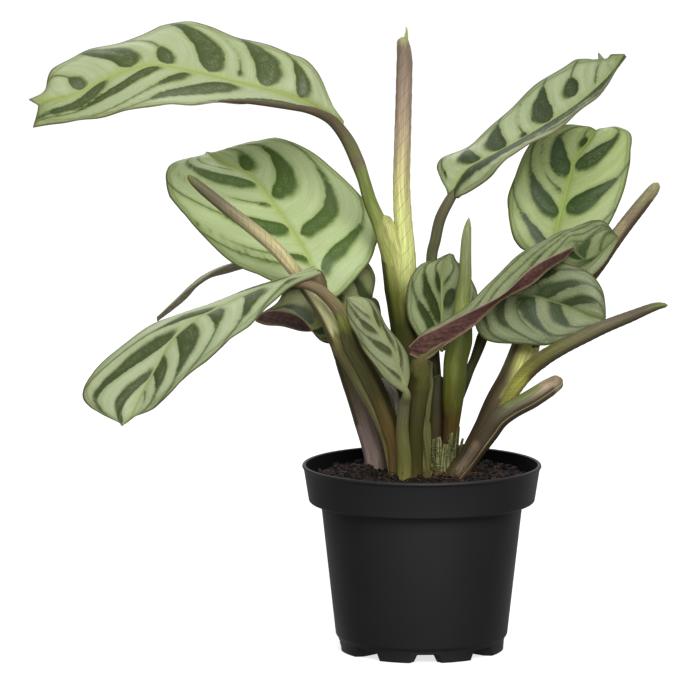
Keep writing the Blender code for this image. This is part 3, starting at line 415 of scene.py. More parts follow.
# Stems and rolled leaves: (x, y, z, radius) from the soil up.
STEMS = {
    "tall_shoot": (
        (
            (-7, 4, 82, 5), (-7, 4, 105, 5.2), (-7.6, 5, 125, 5.5), (-8.4, 6, 156, 6),
            (-9.2, 7, 170, 6.8), (-11, 6.6, 182, 6.9), (-13.4, 6.4, 194, 5.9), (-16, 5.6, 206, 4.9),
            (-18.4, 5, 214, 4.2), (-19.6, 5, 219, 3.2),
        ),
        (
            (-13, 6, 190, 5), (-18, 5, 205, 4.2), (-21.4, 5, 215, 3.8), (-26, 5, 226, 3.4),
            (-29.2, 4, 237, 3.1), (-32, 4, 245, 3.5), (-35.8, 3, 254, 3.4), (-40, 1.6, 261, 3),
            (-45, -1.4, 267, 2.7), (-51, -5.6, 270.8, 2.2), (-58, -11, 273.6, 1.8), (-66, -17, 275.4, 1.5),
            (-80, -24.4, 278, 1.2), (-91, -29.6, 279.4, 0.8), (-101, -32.6, 279.8, 0.25),
        ),
        ((-9, 6, 104, 2.6), (-17, 19, 128, 3.6), (-21, 25, 143, 4), (-22, 27, 155, 2.8),
         (-23, 27, 171, 1.8), (-27, 26, 174, 0.8)),
    ),
    "tall_rolled_leaf": (
        (
            (-8.8, 8, 160, 3), (-8, 6, 172, 4.8), (-7.6, 4, 182, 5.6), (-8, 5, 191, 5.3),
            (-8.4, 7.5, 201.4, 4.9),
            (-9.5, 9, 215, 4.6), (-10.3, 10, 233, 4.3), (-9.9, 10, 252, 4.2), (-9.4, 10, 271, 4.1),
            (-8.9, 10, 293, 4), (-9, 10, 299, 3.7), (-9.6, 10, 304, 3.2), (-10, 10, 307.6, 2.9),
        ),
        ((-8.4, 10, 303, 1.4), (-8, 10, 308, 0.9), (-7.8, 10, 311, 0.5), (-8.2, 10, 313, 0.2)),
    ),
    "front_shoot": (
        (
            (-4, -17, 84, 4), (-4, -17, 99, 4), (-4, -18, 114, 4.2), (-3, -19, 127, 4.8),
            (-2, -21, 137, 5.4), (-1.4, -24.6, 144.6, 4.8), (-1, -28, 150, 3.6), (1, -29.6, 154, 2.6),
            (6, -29.8, 157, 1.8), (12, -29.4, 160.4, 0.8),
        ),
        (
            (-9, -19, 85, 3.5), (-9, -20, 99, 3.3), (-10, -23, 115, 2.8), (-9, -28, 128, 2.4),
            (-8, -33, 134, 1.9), (-9.4, -33.4, 139, 0.9),
        ),
        ((1.4, -13, 85, 2.6), (1, -13, 104, 2.6), (0.8, -14, 124, 2.6), (2.2, -15, 138, 2.6),
         (3, -16, 149, 1.6)),
    ),
    "left_shoot": (
        (
            (-11.4, -12, 85, 3.8), (-12.8, -11, 103, 4.1), (-15.4, -11, 113, 4.3), (-19.2, -12, 124, 4.3),
            (-23.8, -13, 135, 4.5), (-29.3, -14, 146, 4.4), (-34, -16, 155, 4.1), (-37, -18, 164, 3.7),
            (-40, -20, 172, 3.3), (-44, -21, 178, 2.9), (-50, -22, 184, 2.6), (-55, -23, 187, 2.4),
            (-61, -23.5, 188.5, 2.2), (-68, -25, 188.8, 1.4),
        ),
        (
            (-12.4, -8, 85, 3), (-15.6, -8, 105, 3.6), (-18.8, -8.4, 115, 3.9), (-23.2, -9, 125, 4.1),
            (-28.6, -9.5, 135, 4.3), (-34.6, -9.5, 146, 4.3), (-40.8, -9, 155, 4.2), (-45, -9, 164, 3.8),
            (-49, -10, 172, 3.5), (-53, -10, 178, 3.3), (-58, -10, 185, 3.2), (-61.4, -10, 190, 3),
        ),
    ),
    "left_rolled_leaf": (
        (
            (-59, -10, 187, 2.8), (-63, -10, 192, 3.2), (-72, -11, 203, 3.4), (-83, -12, 213, 3.2),
            (-97, -12, 224, 3), (-108, -12, 233, 2.7), (-113.6, -12, 238, 2.2), (-116.6, -12, 241, 0.8),
        ),
    ),
    "outer_left_shoot": (
        (
            (-21.6, 12, 83, 4.6), (-22.8, 11, 93, 5), (-24, 11, 101, 5.4), (-27.9, 11, 114, 5.4),
            (-31.6, 11, 125, 5), (-35.6, 12, 135, 4.4), (-39.4, 13, 145, 3.7), (-40.8, 14, 151, 2.8),
        ),
        (
            (-41, 13, 146, 3), (-44, 9, 156, 2.8), (-47, 8.5, 170, 2.8), (-50, 8.6, 178, 3.4),
            (-51.6, 9, 184, 4), (-52.6, 10, 188, 3.4), (-53, 11, 191, 1.6),
        ),
        (
            (-39, 14, 145, 2.4), (-42.4, 26, 153, 2.2), (-49, 34, 160, 2.2), (-56, 38, 173, 2.2),
            (-61, 36.4, 183, 1.9), (-67, 37, 186.4, 1.2),
        ),
    ),
    "middle_shoot": (
        (
            (13, -2, 85, 3.2), (14, -2, 106, 3.5), (15, -3, 117, 4), (15.6, -4, 127, 4.9),
            (16.4, -5, 137, 5.3), (17, -5, 147, 5.5), (19, -6, 157, 5.8), (20, -6, 168, 4.6),
            (20.2, -6, 178, 3.4), (21.4, -6, 188, 3), (21.6, -6, 198, 2.7), (22, -6, 208, 2.3),
            (22.6, -6, 214, 1.7), (23.2, -6, 219, 0.4),
        ),
    ),
    "dark_shoot": (
        (
            (6, 8, 85, 3.4), (6, 8, 105, 3.4), (7, 8, 115, 3.4), (7, 8, 125, 3.1), (7, 9, 135, 3),
            (6, 13, 150, 2.9), (5.2, 17, 170, 2.8), (5, 17, 195, 2.8), (6.8, 15, 205, 2.8),
            (9.2, 13, 216, 2.8), (13.8, 12.6, 225.4, 2.6), (18.4, 13.4, 232, 1.8), (22, 14, 238, 0.8),
        ),
        ((7, 4, 85, 3.7), (7, 4, 110, 4), (7.6, 3.6, 127, 3.8), (8.6, 3, 138.6, 2)),
    ),
    "slim_shoot": (
        (
            (13, 6, 86, 2.4), (15, 5, 118, 2.4), (18.4, 5, 126, 2.4), (21.8, 4, 135, 2.4),
            (24, 4, 141, 2.3), (26.2, 4, 146, 2.3), (28, 3, 151, 2.6), (30, 3, 157, 2.9),
            (32.8, 2, 167, 2), (33.4, -1, 178, 1.5), (35, -3, 180.6, 0.8),
        ),
    ),
    "right_shoot": (
        (
            (13, -14, 84, 5), (18, -13, 91, 5.2), (23.6, -11, 99, 4.9), (27.6, -9, 106, 4.9),
            (32, -8, 114, 5.2), (38, -6, 126, 5.8), (46, -3, 139, 6.4), (52, 0, 153, 6.4), (55, 1, 160, 4.6),
        ),
        (
            (49, 1, 145, 3), (50, 4, 155, 3), (55, 9, 163, 2.8), (60, 18, 174, 2.6),
            (64, 27, 186, 2.4), (65.4, 31, 194.6, 1.8), (66.6, 33.4, 201, 0.8),
        ),
        (
            (36, -8, 114, 2.6), (41, -13, 125, 3.2), (46, -16, 134.4, 3.5), (52, -17, 142.8, 4),
            (59, -19, 149.4, 4.2), (69, -22, 156, 3.8), (82, -24, 162.8, 3.5), (91, -25, 167.2, 3.3),
            (103, -25, 172, 2.9), (115, -25, 176.8, 2.1), (121.4, -25, 177.6, 0.9),
        ),
        (
            (14, -15, 86, 3), (22.6, -15.5, 97, 3.6), (28.4, -18, 106, 4.2), (33.4, -18, 113, 4.4),
            (38.4, -19, 119.8, 4.3),
            (45.6, -19, 125, 4.2), (54, -20, 129.8, 4.3), (62.6, -20, 135.4, 4.1), (69.4, -20, 140, 3),
        ),
    ),
    "right_rolled_leaf": (
        (
            (52, -3, 151, 3), (56, -1, 156, 3.6), (63, 4, 163, 3.8), (75, 10, 176, 3.8), (88, 14, 192, 3.6),
            (93.6, 16, 200.4, 3.8), (101.6, 18, 211.4, 3.7), (109.6, 19, 221.6, 3.5), (116, 20, 229.6, 3),
            (118.6, 20, 233.4, 1.6),
        ),
    ),
}

# Finish of each stem: its kind and the colours from foot to tip.
STEM_FINISHES = {
    "tall_shoot": (
        # Its sheath darkens to nearly black green about the middle of its height: painted shade under the
        # leaves over it.
        ("sheath", ("#45441c", "#3f3f1a", "#373716", "#2f300c", "#2c3008", "#5c6226", "#9ca15a", "#8d8d56")),
        ("stalk", ("#959b55", "#8a9050", "#6c7a3b", "#6c7443", "#5c543d", "#554b3a", "#4f4534", "#483d2c",
                   "#43372a")),
        ("stalk", ("#3f3a22", "#4a452c", "#4d4d2c")),
    ),
    "tall_rolled_leaf": (
        ("wrapped", ("#2a2f06", "#50561d", "#a8ad68", "#c6cb80", "#c9cd84", "#c6c184", "#b9ab80", "#a69379",
                     "#988573", "#857464", "#75685a")),
        ("stalk", ("#6d6f48", "#8f9f62", "#93a86a")),
    ),
    "front_shoot": (
        ("sheath", ("#45421c", "#37340f", "#35350f", "#3a391a", "#464522", "#565629", "#5e5a36", "#55443a")),
        ("sheath", ("#6c6a38", "#626132", "#616038", "#646346", "#75784c")),
        ("split", ("#57552f", "#5c5a32", "#60603b", "#5c5b3a")),
    ),
    "left_shoot": (
        ("sheath", ("#6e6038", "#66532f", "#62502c", "#57502a", "#5e5f36", "#686a40", "#756a4a", "#6f6048",
                    "#6b5b44")),
        ("sheath", ("#82794a", "#80764a", "#7c7248", "#74734a", "#6e6d44", "#6a643e", "#a7a56c", "#bdb880",
                    "#6a5c42")),
    ),
    "left_rolled_leaf": (
        ("rolled", ("#90885d", "#b8ad80", "#bcb084", "#aca27a", "#857d60", "#6c644d", "#5e5944", "#6d7440")),
    ),
    "outer_left_shoot": (
        ("sheath", ("#96826e", "#94807a", "#897670", "#746553", "#5a5434", "#4f4c29")),
        ("stalk", ("#4f4f30", "#6d6c44", "#b0af74", "#6f673f", "#60523a", "#594532")),
        ("stalk", ("#453c2a", "#3f3526", "#4c4632")),
    ),
    "middle_shoot": (
        ("sheath", ("#3c2b16", "#4a3219", "#463c14", "#5a6022", "#6d7736", "#7a8444", "#6e7746", "#7b8058",
                    "#868e60")),
    ),
    "dark_shoot": (
        ("stalk", ("#2b2312", "#2d2614", "#2c2a11", "#333013", "#504d31", "#595b41", "#59553f", "#605f47")),
        ("sheath", ("#3b2e17", "#3b3018", "#3a3520", "#3f3c26")),
    ),
    "slim_shoot": (("stalk", ("#403a1e", "#3a371a", "#30341a", "#2d3016", "#2c2e1b")),),
    "right_shoot": (
        ("sheath", ("#42361f", "#43381f", "#463b28", "#3c3420", "#514d2c", "#a6a75f", "#a8ad60")),
        ("stalk", ("#8a8c46", "#5c6030", "#474a28")),
        ("rolled", ("#50482c", "#8a8548", "#8f8f3f", "#5f6030", "#63623a", "#66634a", "#5c5542", "#51493a",
                    "#5f6c2e")),
        ("sheath", ("#5c5038", "#57493a", "#42382a", "#3a3123", "#46402f", "#565444", "#6f6a52", "#a08e74",
                    "#6a5848")),
    ),
    "right_rolled_leaf": (
        ("rolled", ("#54503a", "#5a5240", "#6d5c4e", "#7a6a58", "#7a6d58", "#88865e")),
    ),
}

# Patches of another colour: number of the stem, from and to round it (0 left or upper side, 0.25 front,
# 0.5 right or lower side), from and to along it as shares, colour. Many are painted shade down the side of a
# stem that lies in shade, one is a painted highlight down the lit side of the tall shoot, and the rest are
# the stems' own colour.
STEM_PATCHES_AND_PAINTED_SHADING = {
    # Tall shoot: painted shade down the left of its sheath, a painted highlight down its lit right side, and
    # a band at a node of its stalk.
    "tall_shoot": ((0, -0.1, 0.1, 0.3, 0.85, "#23280a"), (0, 0.3, 0.45, 0.72, 0.95, "#b9bd74"),
                   (1, 0.0, 1.0, 0.38, 0.39, "#6a5a4a")),
    "tall_rolled_leaf": ((0, 0.0, 1.0, 0.99, 1.0, "#9ba066"),),
    # Front shoot: painted shade on the left of its first sheath, where the second stands beside it.
    "front_shoot": ((0, -0.1, 0.2, 0.0, 0.7, "#2f2e10"),),
    # Left shoot: a yellow-green node band and a cream band, then painted shade down the left of its second
    # sheath and along the lower side of its first, under the leaf.
    "left_shoot": ((0, 0.0, 1.0, 0.675, 0.705, "#8f9a48"), (1, 0.2, 0.5, 0.72, 0.91, "#e2e0a6"),
                   (1, -0.15, 0.16, 0.67, 0.95, "#453c26"), (0, 0.34, 0.6, 0.1, 0.66, "#2b2a12")),
    # Outer left shoot: painted shade down the left of its sheath.
    "outer_left_shoot": ((0, -0.1, 0.12, 0.45, 0.95, "#3c3420"),),
    "middle_shoot": ((0, -0.1, 0.16, 0.1, 0.25, "#3e301c"), (0, 0.3, 0.6, 0.3, 0.6, "#444a1c")),
    # Right shoot: painted shade down the left of its first sheath and along the lower sides of its rolled
    # leaf and last sheath, besides its own pale, green and brown patches.
    "right_shoot": ((0, -0.15, 0.14, 0.15, 0.9, "#33291c"), (0, 0.26, 0.5, 0.6, 0.95, "#bcbd70"),
                    (2, 0.32, 0.6, 0.3, 1.0, "#48402c"), (3, -0.12, 0.14, 0.62, 0.84, "#6f7b45"),
                    (3, 0.28, 0.6, 0.3, 0.9, "#33291c"), (3, 0.1, 0.24, 0.05, 0.32, "#6c5e4d")),
    # Right rolled leaf: painted shade along its lower side, and a pale band of its own.
    "right_rolled_leaf": ((0, 0.32, 0.6, 0.0, 0.9, "#453c2b"), (0, 0.1, 0.24, 0.68, 0.74, "#8f8760")),
}

# Turns of a rolled leaf that show round it, their spacing in millimetres and how dark the painted shade along
# their edges is.
WRAPS = {"wrapped": (4, 8.0, 0.75), "rolled": (5, 3.6, 0.5)}

# Dried sheaths: the colours of their fibres from dark to pale, and the torn collar with its strips
GREY_FIBRES = ("#565048", "#8b8376", "#bcb4a0")
STRAW_FIBRES = ("#35331a", "#5c6139", "#a79f74")
TORN_SHEATH_CENTRE = (7.6, 2.5)
TORN_SHEATH_RADII = (10.2, 10.3)
TORN_SHEATH_ARC = (196.0, 348.0)
TORN_SHEATH_HEIGHT = (98.0, 117.0)
TORN_STRIPS = 18
TORN_FIBRES = 130
STRIP_ROWS = 12
STRIP_COLUMNS = 5
STRIP_OVERLAP = 1.1
STRIP_THICKNESS = 0.5
HAIR_STEPS = 7

# Pot: its profile, its drain notches and the angle from which its edges show as creases
LIP = 1.0
RIM_RADIUS = 60.0
RIM_HEIGHT = 94.0
COLLAR_BASE_RADIUS = 56.8
COLLAR_BASE_HEIGHT = 75.0
WALL_TOP_RADIUS = 50.5
WALL_BASE_RADIUS = 43.2
SHOULDER_HEIGHT = 8.0
FOOT_RADIUS = 41.5
WALL = 1.2
POT_SEGMENTS = 160
POT_FLOOR = 6.2
DRAIN_COUNT = 8
DRAIN_INNER = 19.0
DRAIN_SPLAY = 5.0
DRAIN_HEIGHT = 5.0
DRAIN_ROUND = 1.4
DRAIN_NARROW = 4.0
DRAIN_FLARE = 2.2
DRAIN_START = -87.6
DRAIN_WIDE = 8.6
CREASE = math.radians(32)

# Studio: the floor's reach and its own light, where the lights aim and their power in watts, and the
# strength of the sky at the horizon, overhead, in front and behind
FLOOR_REACH = 12000.0
FLOOR_GLOW = 0.72
LIGHT_AIM = (0, 0, 170)
KEY_POWER = 33.0
BACK_POWER = 14.0
SKY_LOW = 0.1
SKY_HIGH = 0.75
FRONT_GLOW = 0.45
BACK_GLOW = 0.5

# Kinds of shader node
MATH = "ShaderNodeMath"
MIX = "ShaderNodeMix"
NOISE = "ShaderNodeTexNoise"
RANGE = "ShaderNodeMapRange"


def linear(hex_colour):
    """Turn an sRGB hex colour into linear RGBA."""
    values = [int(hex_colour[i:i + 2], 16) / 255 for i in (1, 3, 5)]
    return [v / 12.92 if v <= 0.04045 else ((v + 0.055) / 1.055) ** 2.4 for v in values] + [1.0]


def add(tree, kind, inputs=(), out=0, **settings):
    """Add a shader node with its settings, and give one of its outputs. Its inputs are set or linked in
    their order, or by name or number. Text is a hex colour."""
    made = tree.nodes.new(kind)
    for key, value in settings.items():
        setattr(made, key, value)
    for key, value in inputs.items() if isinstance(inputs, dict) else enumerate(inputs):
        if isinstance(value, bpy.types.NodeSocket):
            tree.links.new(value, made.inputs[key])
        else:
            made.inputs[key].default_value = linear(value) if isinstance(value, str) else value
    return made.outputs[out]


def new_material(name, roughness, specular):
    """A material with a Principled surface, its roughness and its specular level."""
    made = bpy.data.materials.new(name)
    made.use_nodes = True
    surface = made.node_tree.nodes["Principled BSDF"]
    surface.inputs["Roughness"].default_value = roughness
    surface.inputs["Specular IOR Level"].default_value = specular
    return made, made.node_tree, surface


def finish(tree, surface, colour, height, strength, depth):
    """Give a surface its colour, and its relief of a depth in millimetres."""
    tree.links.new(colour, surface.inputs["Base Color"])
    bump = add(tree, "ShaderNodeBump", {"Height": height, "Strength": strength, "Distance": depth * MM})
    tree.links.new(bump, surface.inputs["Normal"])


def set_stops(ramp, stops):
    """Give a colour ramp its stops, each a place and a hex colour."""
    elements = ramp.color_ramp.elements
    for element, (place, colour) in zip(elements, (stops[0], stops[-1])):
        element.position = place
        element.color = linear(colour)
    for place, colour in stops[1:-1]:
        elements.new(place).color = linear(colour)


def per_mm(size):
    """Texture scale that gives features of a size in millimetres."""
    return 1 / (size * MM)


def corner_values(tree, name):
    """The three numbers that a mesh keeps for each face corner under a name."""
    vector = add(tree, "ShaderNodeAttribute", out="Vector", attribute_name=name)
    return add(tree, "ShaderNodeSeparateXYZ", (vector,)).node.outputs


def vein_ripple(tree, along_vein):
    """The fine side veins, as a wave from -1 to 1. Real ones lie closer, too fine to show."""
    phase = add(tree, MATH, (along_vein, 2 * math.pi / VEIN_SPACING), operation="MULTIPLY")
    return add(tree, MATH, (phase,), operation="SINE")


def blade_upper(name, tints, rib_colour):
    """Prayer plant leaf, upper face: satin, pale green with dark feathered bars along the side veins."""
    ground, by_rib, by_edge, bar_rim, bar_middle, _ = tints
    made, tree, surface = new_material(f"upper face of {name}", 0.45, 0.25)
    from_rib, from_edge, along_vein = corner_values(tree, "blade_place")
    off, reached, outside = corner_values(tree, "bar_place")
    # Leaf cells are a tenth of a millimetre, too fine to show, and are drawn as coarse as it needs.
    coordinates = add(tree, "ShaderNodeTexCoord", out="Object")
    cells, drift, haze = (
        add(tree, NOISE, {"Vector": coordinates, "Scale": per_mm(size), "Detail": detail})
        for size, detail in ((0.8, 3.0), (7.0, 1.0), (3.5, 2.0)))

    # A bar is sharp on the side of the leaf's tip and fades out towards the foot. Its outline drifts a
    # little, and wavers by a fifth of a millimetre, as the colour spreads from cell to cell.
    fine = add(tree, RANGE, (cells, 0.3, 0.7, -0.22, 0.22))
    drift = add(tree, RANGE, (drift, 0.3, 0.7, -0.55, 0.55))
    waver = add(tree, MATH, (fine, drift), operation="ADD")
    depth = add(tree, MATH, (outside, waver), operation="ADD")
    softness = add(tree, RANGE, (off, -1.5, 1.5, 2.0, 0.8))
    blurred = add(tree, MATH, (depth, softness), operation="DIVIDE")
    in_bar = add(tree, RANGE, (blurred, -0.9, 0.5, 1.0, 0.0), interpolation_type="SMOOTHSTEP")

    # Past the bar its vein goes on for a while as a thin dark line.
    distance = add(tree, MATH, (off,), operation="ABSOLUTE")
    in_line = add(tree, RANGE, (distance, LINE_HALF_WIDTH * 0.5, LINE_HALF_WIDTH * 2.4, 0.7, 0.0))
    for limits in ((reached, -0.02, 0.06, 0.0, 1.0), (reached, 1.4, 2.0, 1.0, 0.0)):
        shown = add(tree, RANGE, limits)
        in_line = add(tree, MATH, (in_line, shown), operation="MULTIPLY")
    dark = add(tree, MATH, (in_bar, in_line), operation="MAXIMUM")

    # A bar is paler inside, in a haze of fine specks, and more so on the side of the leaf's foot.
    inner = add(tree, RANGE, (depth, -3.4, -1.0, 1.0, 0.0))
    for limits in ((cells, 0.4, 0.62, 0.1, 1.0), (haze, 0.36, 0.62, 0.25, 1.0), (off, -3.0, 3.0, 1.0, 0.35)):
        shown = add(tree, RANGE, limits)
        inner = add(tree, MATH, (inner, shown), operation="MULTIPLY")
    bar_colour = add(tree, MIX, {0: inner, 6: bar_rim, 7: bar_middle}, out=2, data_type="RGBA")

    # The side veins' ends gather in a thin line that runs a few millimetres inside the margin.
    gather = add(tree, MATH, (drift, GATHER_DISTANCE), operation="ADD")
    gather = add(tree, MATH, (from_edge, gather), operation="SUBTRACT")
    gather = add(tree, MATH, (gather,), operation="ABSOLUTE")
    gather = add(tree, RANGE, (gather, 0.1, 0.6, 0.55, 0.0))
    reaching = add(tree, RANGE, (from_rib, 5.0, 12.0))
    gather = add(tree, MATH, (gather, reaching), operation="MULTIPLY")

    # The ground is yellower by the midrib, greener at the edge and round the bars, and streaked along
    # the side veins. The midrib and a thin brown margin lie over all of it.
    ripple = vein_ripple(tree, along_vein)
    strand = add(tree, "ShaderNodeCombineXYZ", (along_vein, from_rib))
    strand = add(tree, "ShaderNodeVectorMath", (strand, (0.45, 0.07, 0.0)), operation="MULTIPLY")
    streaks = add(tree, NOISE, {"Vector": strand, "Scale": 1.0, "Detail": 3.0})
    near_rib, near_edge = (
        add(tree, RANGE, limits, interpolation_type="SMOOTHSTEP")
        for limits in ((from_rib, 0.5, 4.5, 0.6, 0.0), (from_edge, 0.4, 5.0, 0.8, 0.0)))
    halo, mottle, greener, shade, rib, rim = (add(tree, RANGE, limits) for limits in (
        (depth, -0.4, 2.4, 0.75, 0.0),
        (cells, 0.5, 0.75, 0.0, 0.13),
        (streaks, 0.38, 0.68, 0.0, 0.3),
        (ripple, -1.0, 1.0, 0.0, 0.05),
        (from_rib, 0.4, 0.9, 0.8, 0.0),
        (from_edge, 0.3, 1.1, 0.9, 0.0),
    ))
    colour = ground
    for cover, tint in ((near_rib, by_rib), (near_edge, by_edge), (halo, by_edge), (gather, bar_middle),
                        (mottle, "#c6cdb0"), (greener, by_edge), (shade, bar_rim), (dark, bar_colour),
                        (rib, rib_colour), (rim, "#4b4a2b")):
        colour = add(tree, MIX, {0: cover, 6: colour, 7: tint}, out=2, data_type="RGBA")
    height = add(tree, MATH, (ripple, 0.2, cells), operation="MULTIPLY_ADD")
    height = add(tree, MATH, (rib, -2.0, height), operation="MULTIPLY_ADD")
    finish(tree, surface, colour, height, 0.35, 0.12)
    return made


def blade_under(name, tint):
    """Prayer plant leaf, underside: wine purple with a pale raised midrib, duller than the upper face."""
    made, tree, surface = new_material(f"underside of {name}", 0.55, 0.2)
    from_rib, from_edge, along_vein = corner_values(tree, "blade_place")
    coordinates = add(tree, "ShaderNodeTexCoord", out="Object")
    mottle = add(tree, NOISE, {"Vector": coordinates, "Scale": per_mm(2.2), "Detail": 4.0})
    ripple = vein_ripple(tree, along_vein)
    colour = tint
    for limits, over in (((mottle, 0.35, 0.7, 0.0, 0.5), "#7a5a50"),
                         ((from_rib, 0.5, 1.3, 0.5, 0.0), "#8a7f5c"),
                         ((from_edge, 0.2, 0.9, 0.8, 0.0), "#8a7866"),
                         ((ripple, -1.0, 1.0, 0.0, 0.2), "#3f2523")):
        cover = add(tree, RANGE, limits)
        colour = add(tree, MIX, {0: cover, 6: colour, 7: over}, out=2, data_type="RGBA")
    finish(tree, surface, colour, ripple, 0.3, 0.1)
    return made


def stem_surface(name, kind, colours, patches_and_painted_shading):
    """Leaf sheath, stalk or rolled leaf: satin, with fibres along it and a colour that changes up it."""
    made, tree, surface = new_material(name, 0.5, 0.16)
    turn, along, share = corner_values(tree, "wrap")
    fibre = add(tree, "ShaderNodeAttribute", out="Vector", attribute_name="fibre")
    drift = add(tree, NOISE, {"Vector": fibre, "Scale": 0.3, "Detail": 3.0})
    # Real fibres are about a quarter of a millimetre apart. They are drawn as coarse as it needs to show.
    streaks = add(tree, NOISE, {"Vector": fibre, "Scale": 1 / FIBRE_SPACING, "Detail": 2.0})
    moved = add(tree, RANGE, (drift, 0.3, 0.7, -0.02, 0.02))
    moved = add(tree, MATH, (share, moved), operation="ADD")
    colour = add(tree, "ShaderNodeValToRGB", (moved,))
    set_stops(colour.node, [(k / (len(colours) - 1), tint) for k, tint in enumerate(colours)])
    # Coats of other colours lie over it in turn: first its patches, which fade out at their edges. Among
    # them are painted shade down a side and, on the tall shoot, a painted highlight down its lit side.
    coats = []
    for round_centre, round_reach, centre, reach, tint in patches_and_painted_shading:
        apart = add(tree, MATH, (turn, round_centre), operation="SUBTRACT")
        apart = add(tree, MATH, (apart, -0.5, 0.5), operation="WRAP")
        apart = add(tree, MATH, (apart,), operation="ABSOLUTE")
        beside = add(tree, RANGE, (apart, round_reach, round_reach + 0.06, 0.85, 0.0))
        apart = add(tree, MATH, (moved, centre), operation="SUBTRACT")
        apart = add(tree, MATH, (apart,), operation="ABSOLUTE")
        above = add(tree, RANGE, (apart, reach, reach + 0.03, 1.0, 0.0))
        coats.append((add(tree, MATH, (beside, above), operation="MULTIPLY"), tint))
    coats.append((add(tree, RANGE, (drift, 0.5, 0.75, 0.0, 0.35)), "#4d3a2b"))
    coats.append((add(tree, RANGE, (streaks, 0.35, 0.6, 0.26, 0.0)), "#34301a"))
    height = streaks
    if kind in WRAPS:
        # Each turn of the rolled blade ends in an edge that winds up round it, with a dark line of painted
        # shade along the step below it.
        starts, spacing, strength = WRAPS[kind]
        turns = add(tree, MATH, (along, spacing), operation="DIVIDE")
        wound = add(tree, MATH, (turn, starts), operation="MULTIPLY")
        lap = add(tree, MATH, (turns, wound), operation="SUBTRACT")
        lap = add(tree, MATH, (lap,), operation="FRACT")
        edge = add(tree, RANGE, (lap, 0.0, 0.6 / spacing, strength, 0.0))
        coats.append((edge, "#4f4130"))
        height = add(tree, MATH, (height, edge), operation="SUBTRACT")
    if kind in SHEATHS:
        # The sheath's free margin lies down its front, pale and dry; the dark line beside it is painted shade
        # under the overlapping margin.
        coats.append((add(tree, RANGE, (turn, 0.0, 0.035, 0.6, 0.0)), "#b5a578"))
        coats.append((add(tree, RANGE, (turn, 0.96, 1.0, 0.0, 0.7)), "#2b2615"))
    for cover, tint in coats:
        colour = add(tree, MIX, {0: cover, 6: colour, 7: tint}, out=2, data_type="RGBA")
    paler = add(tree, RANGE, (streaks, 0.55, 0.75, 0.0, 1.0))
    colour = add(tree, MIX, {0: paler, 6: colour, 7: "#8c8c80"}, out=2, data_type="RGBA", blend_type="DODGE")
    finish(tree, surface, colour, height, 0.4, 0.15)
    return made


def dry_sheath_surface(name, dark, middle, pale):
    """Dried leaf sheath: papery and matt, in fibres of three colours."""
    made, tree, surface = new_material(name, 0.85, 0.2)
    fibre = add(tree, "ShaderNodeAttribute", out="Vector", attribute_name="fibre")
    streaks = add(tree, NOISE, {"Vector": fibre, "Scale": 1.6, "Detail": 4.0})
    colour = add(tree, "ShaderNodeValToRGB", (streaks,))
    set_stops(colour.node, ((0.34, dark), (0.52, middle), (0.7, pale)))
    finish(tree, surface, colour, streaks, 0.8, 0.4)
    return made


def peat_surface():
    """Moist peat: nearly black brown, matt, with crumbs of reddish bark and pale fibres."""
    made, tree, surface = new_material("peat", 0.9, 0.25)
    coordinates = add(tree, "ShaderNodeTexCoord", out="Object")
    tint = add(tree, "ShaderNodeAttribute", out="Fac", attribute_name="tint")
    clods = add(tree, NOISE, {"Vector": coordinates, "Scale": per_mm(2.2), "Detail": 5.0})
    mixture = add(tree, MATH, (clods, tint), operation="ADD")
    colour = add(tree, "ShaderNodeValToRGB", (mixture,))
    set_stops(colour.node, ((0.3, "#060403"), (0.52, "#0d0806"), (0.75, "#23140c"), (0.92, "#452a18"),
                            (1.0, "#5f452c")))
    finish(tree, surface, colour, clods, 0.9, 0.8)
    return made


def pot_surface(name, roughness, specular, dark, light):
    """Injection-moulded polypropylene, black: satin, with a faint grain and slight flow marks."""
    made, tree, surface = new_material(name, roughness, specular)
    coordinates = add(tree, "ShaderNodeTexCoord", out="Object")
    # The mould's grain is about a tenth of a millimetre, and is drawn coarser so that it shows.
    grain, flow = (add(tree, NOISE, {"Vector": coordinates, "Scale": per_mm(size), "Detail": detail})
                   for size, detail in ((0.5, 2.0), (30, 3.0)))
    colour = add(tree, MIX, {0: flow, 6: dark, 7: light}, out=2, data_type="RGBA")
    gloss = add(tree, RANGE, (flow, 0.3, 0.7, roughness, roughness + 0.1))
    tree.links.new(gloss, surface.inputs["Roughness"])
    finish(tree, surface, colour, grain, 0.15, 0.05)
    return made


def unit(vectors):
    """The vectors at a length of one."""
    return vectors / (np.linalg.norm(vectors, axis=-1, keepdims=True) + 1e-9)


def curve_through(points, at):
    """Smooth curve through the points, read at station numbers from 0 to the last."""
    p = np.asarray(points, float)
    last = len(p) - 1
    at = np.clip(np.asarray(at, float), 0, last)
    i = np.minimum(at.astype(int), last - 1)
    f = (at - i)[:, None]
    q = np.vstack([2 * p[0] - p[1], p, 2 * p[-1] - p[-2]])
    a, b, c, d = q[i], q[i + 1], q[i + 2], q[i + 3]
    square = 2 * a - 5 * b + 4 * c - d
    cube = 3 * b - a - 3 * c + d
    return 0.5 * (2 * b + (c - a) * f + square * f ** 2 + cube * f ** 3)


def stations_along(points, shares):
    """Station numbers at shares of the length of the curve through the points, and that length."""
    fine = np.linspace(0, len(points) - 1, 30 * (len(points) - 1) + 1)
    steps = np.linalg.norm(np.diff(curve_through(points, fine), axis=0), axis=1)
    run = np.concatenate([[0], np.cumsum(steps)])
    return np.interp(shares, run / run[-1], fine), run[-1]


def polar(radius, turn):
    """X and Y at a radius and a turn from the X axis."""
    return radius * math.cos(turn), radius * math.sin(turn)


def band(low, high, count):
    """Faces between two rings of points, by the number of each ring's first point."""
    return [(low + k, low + (k + 1) % count, high + (k + 1) % count, high + k) for k in range(count)]


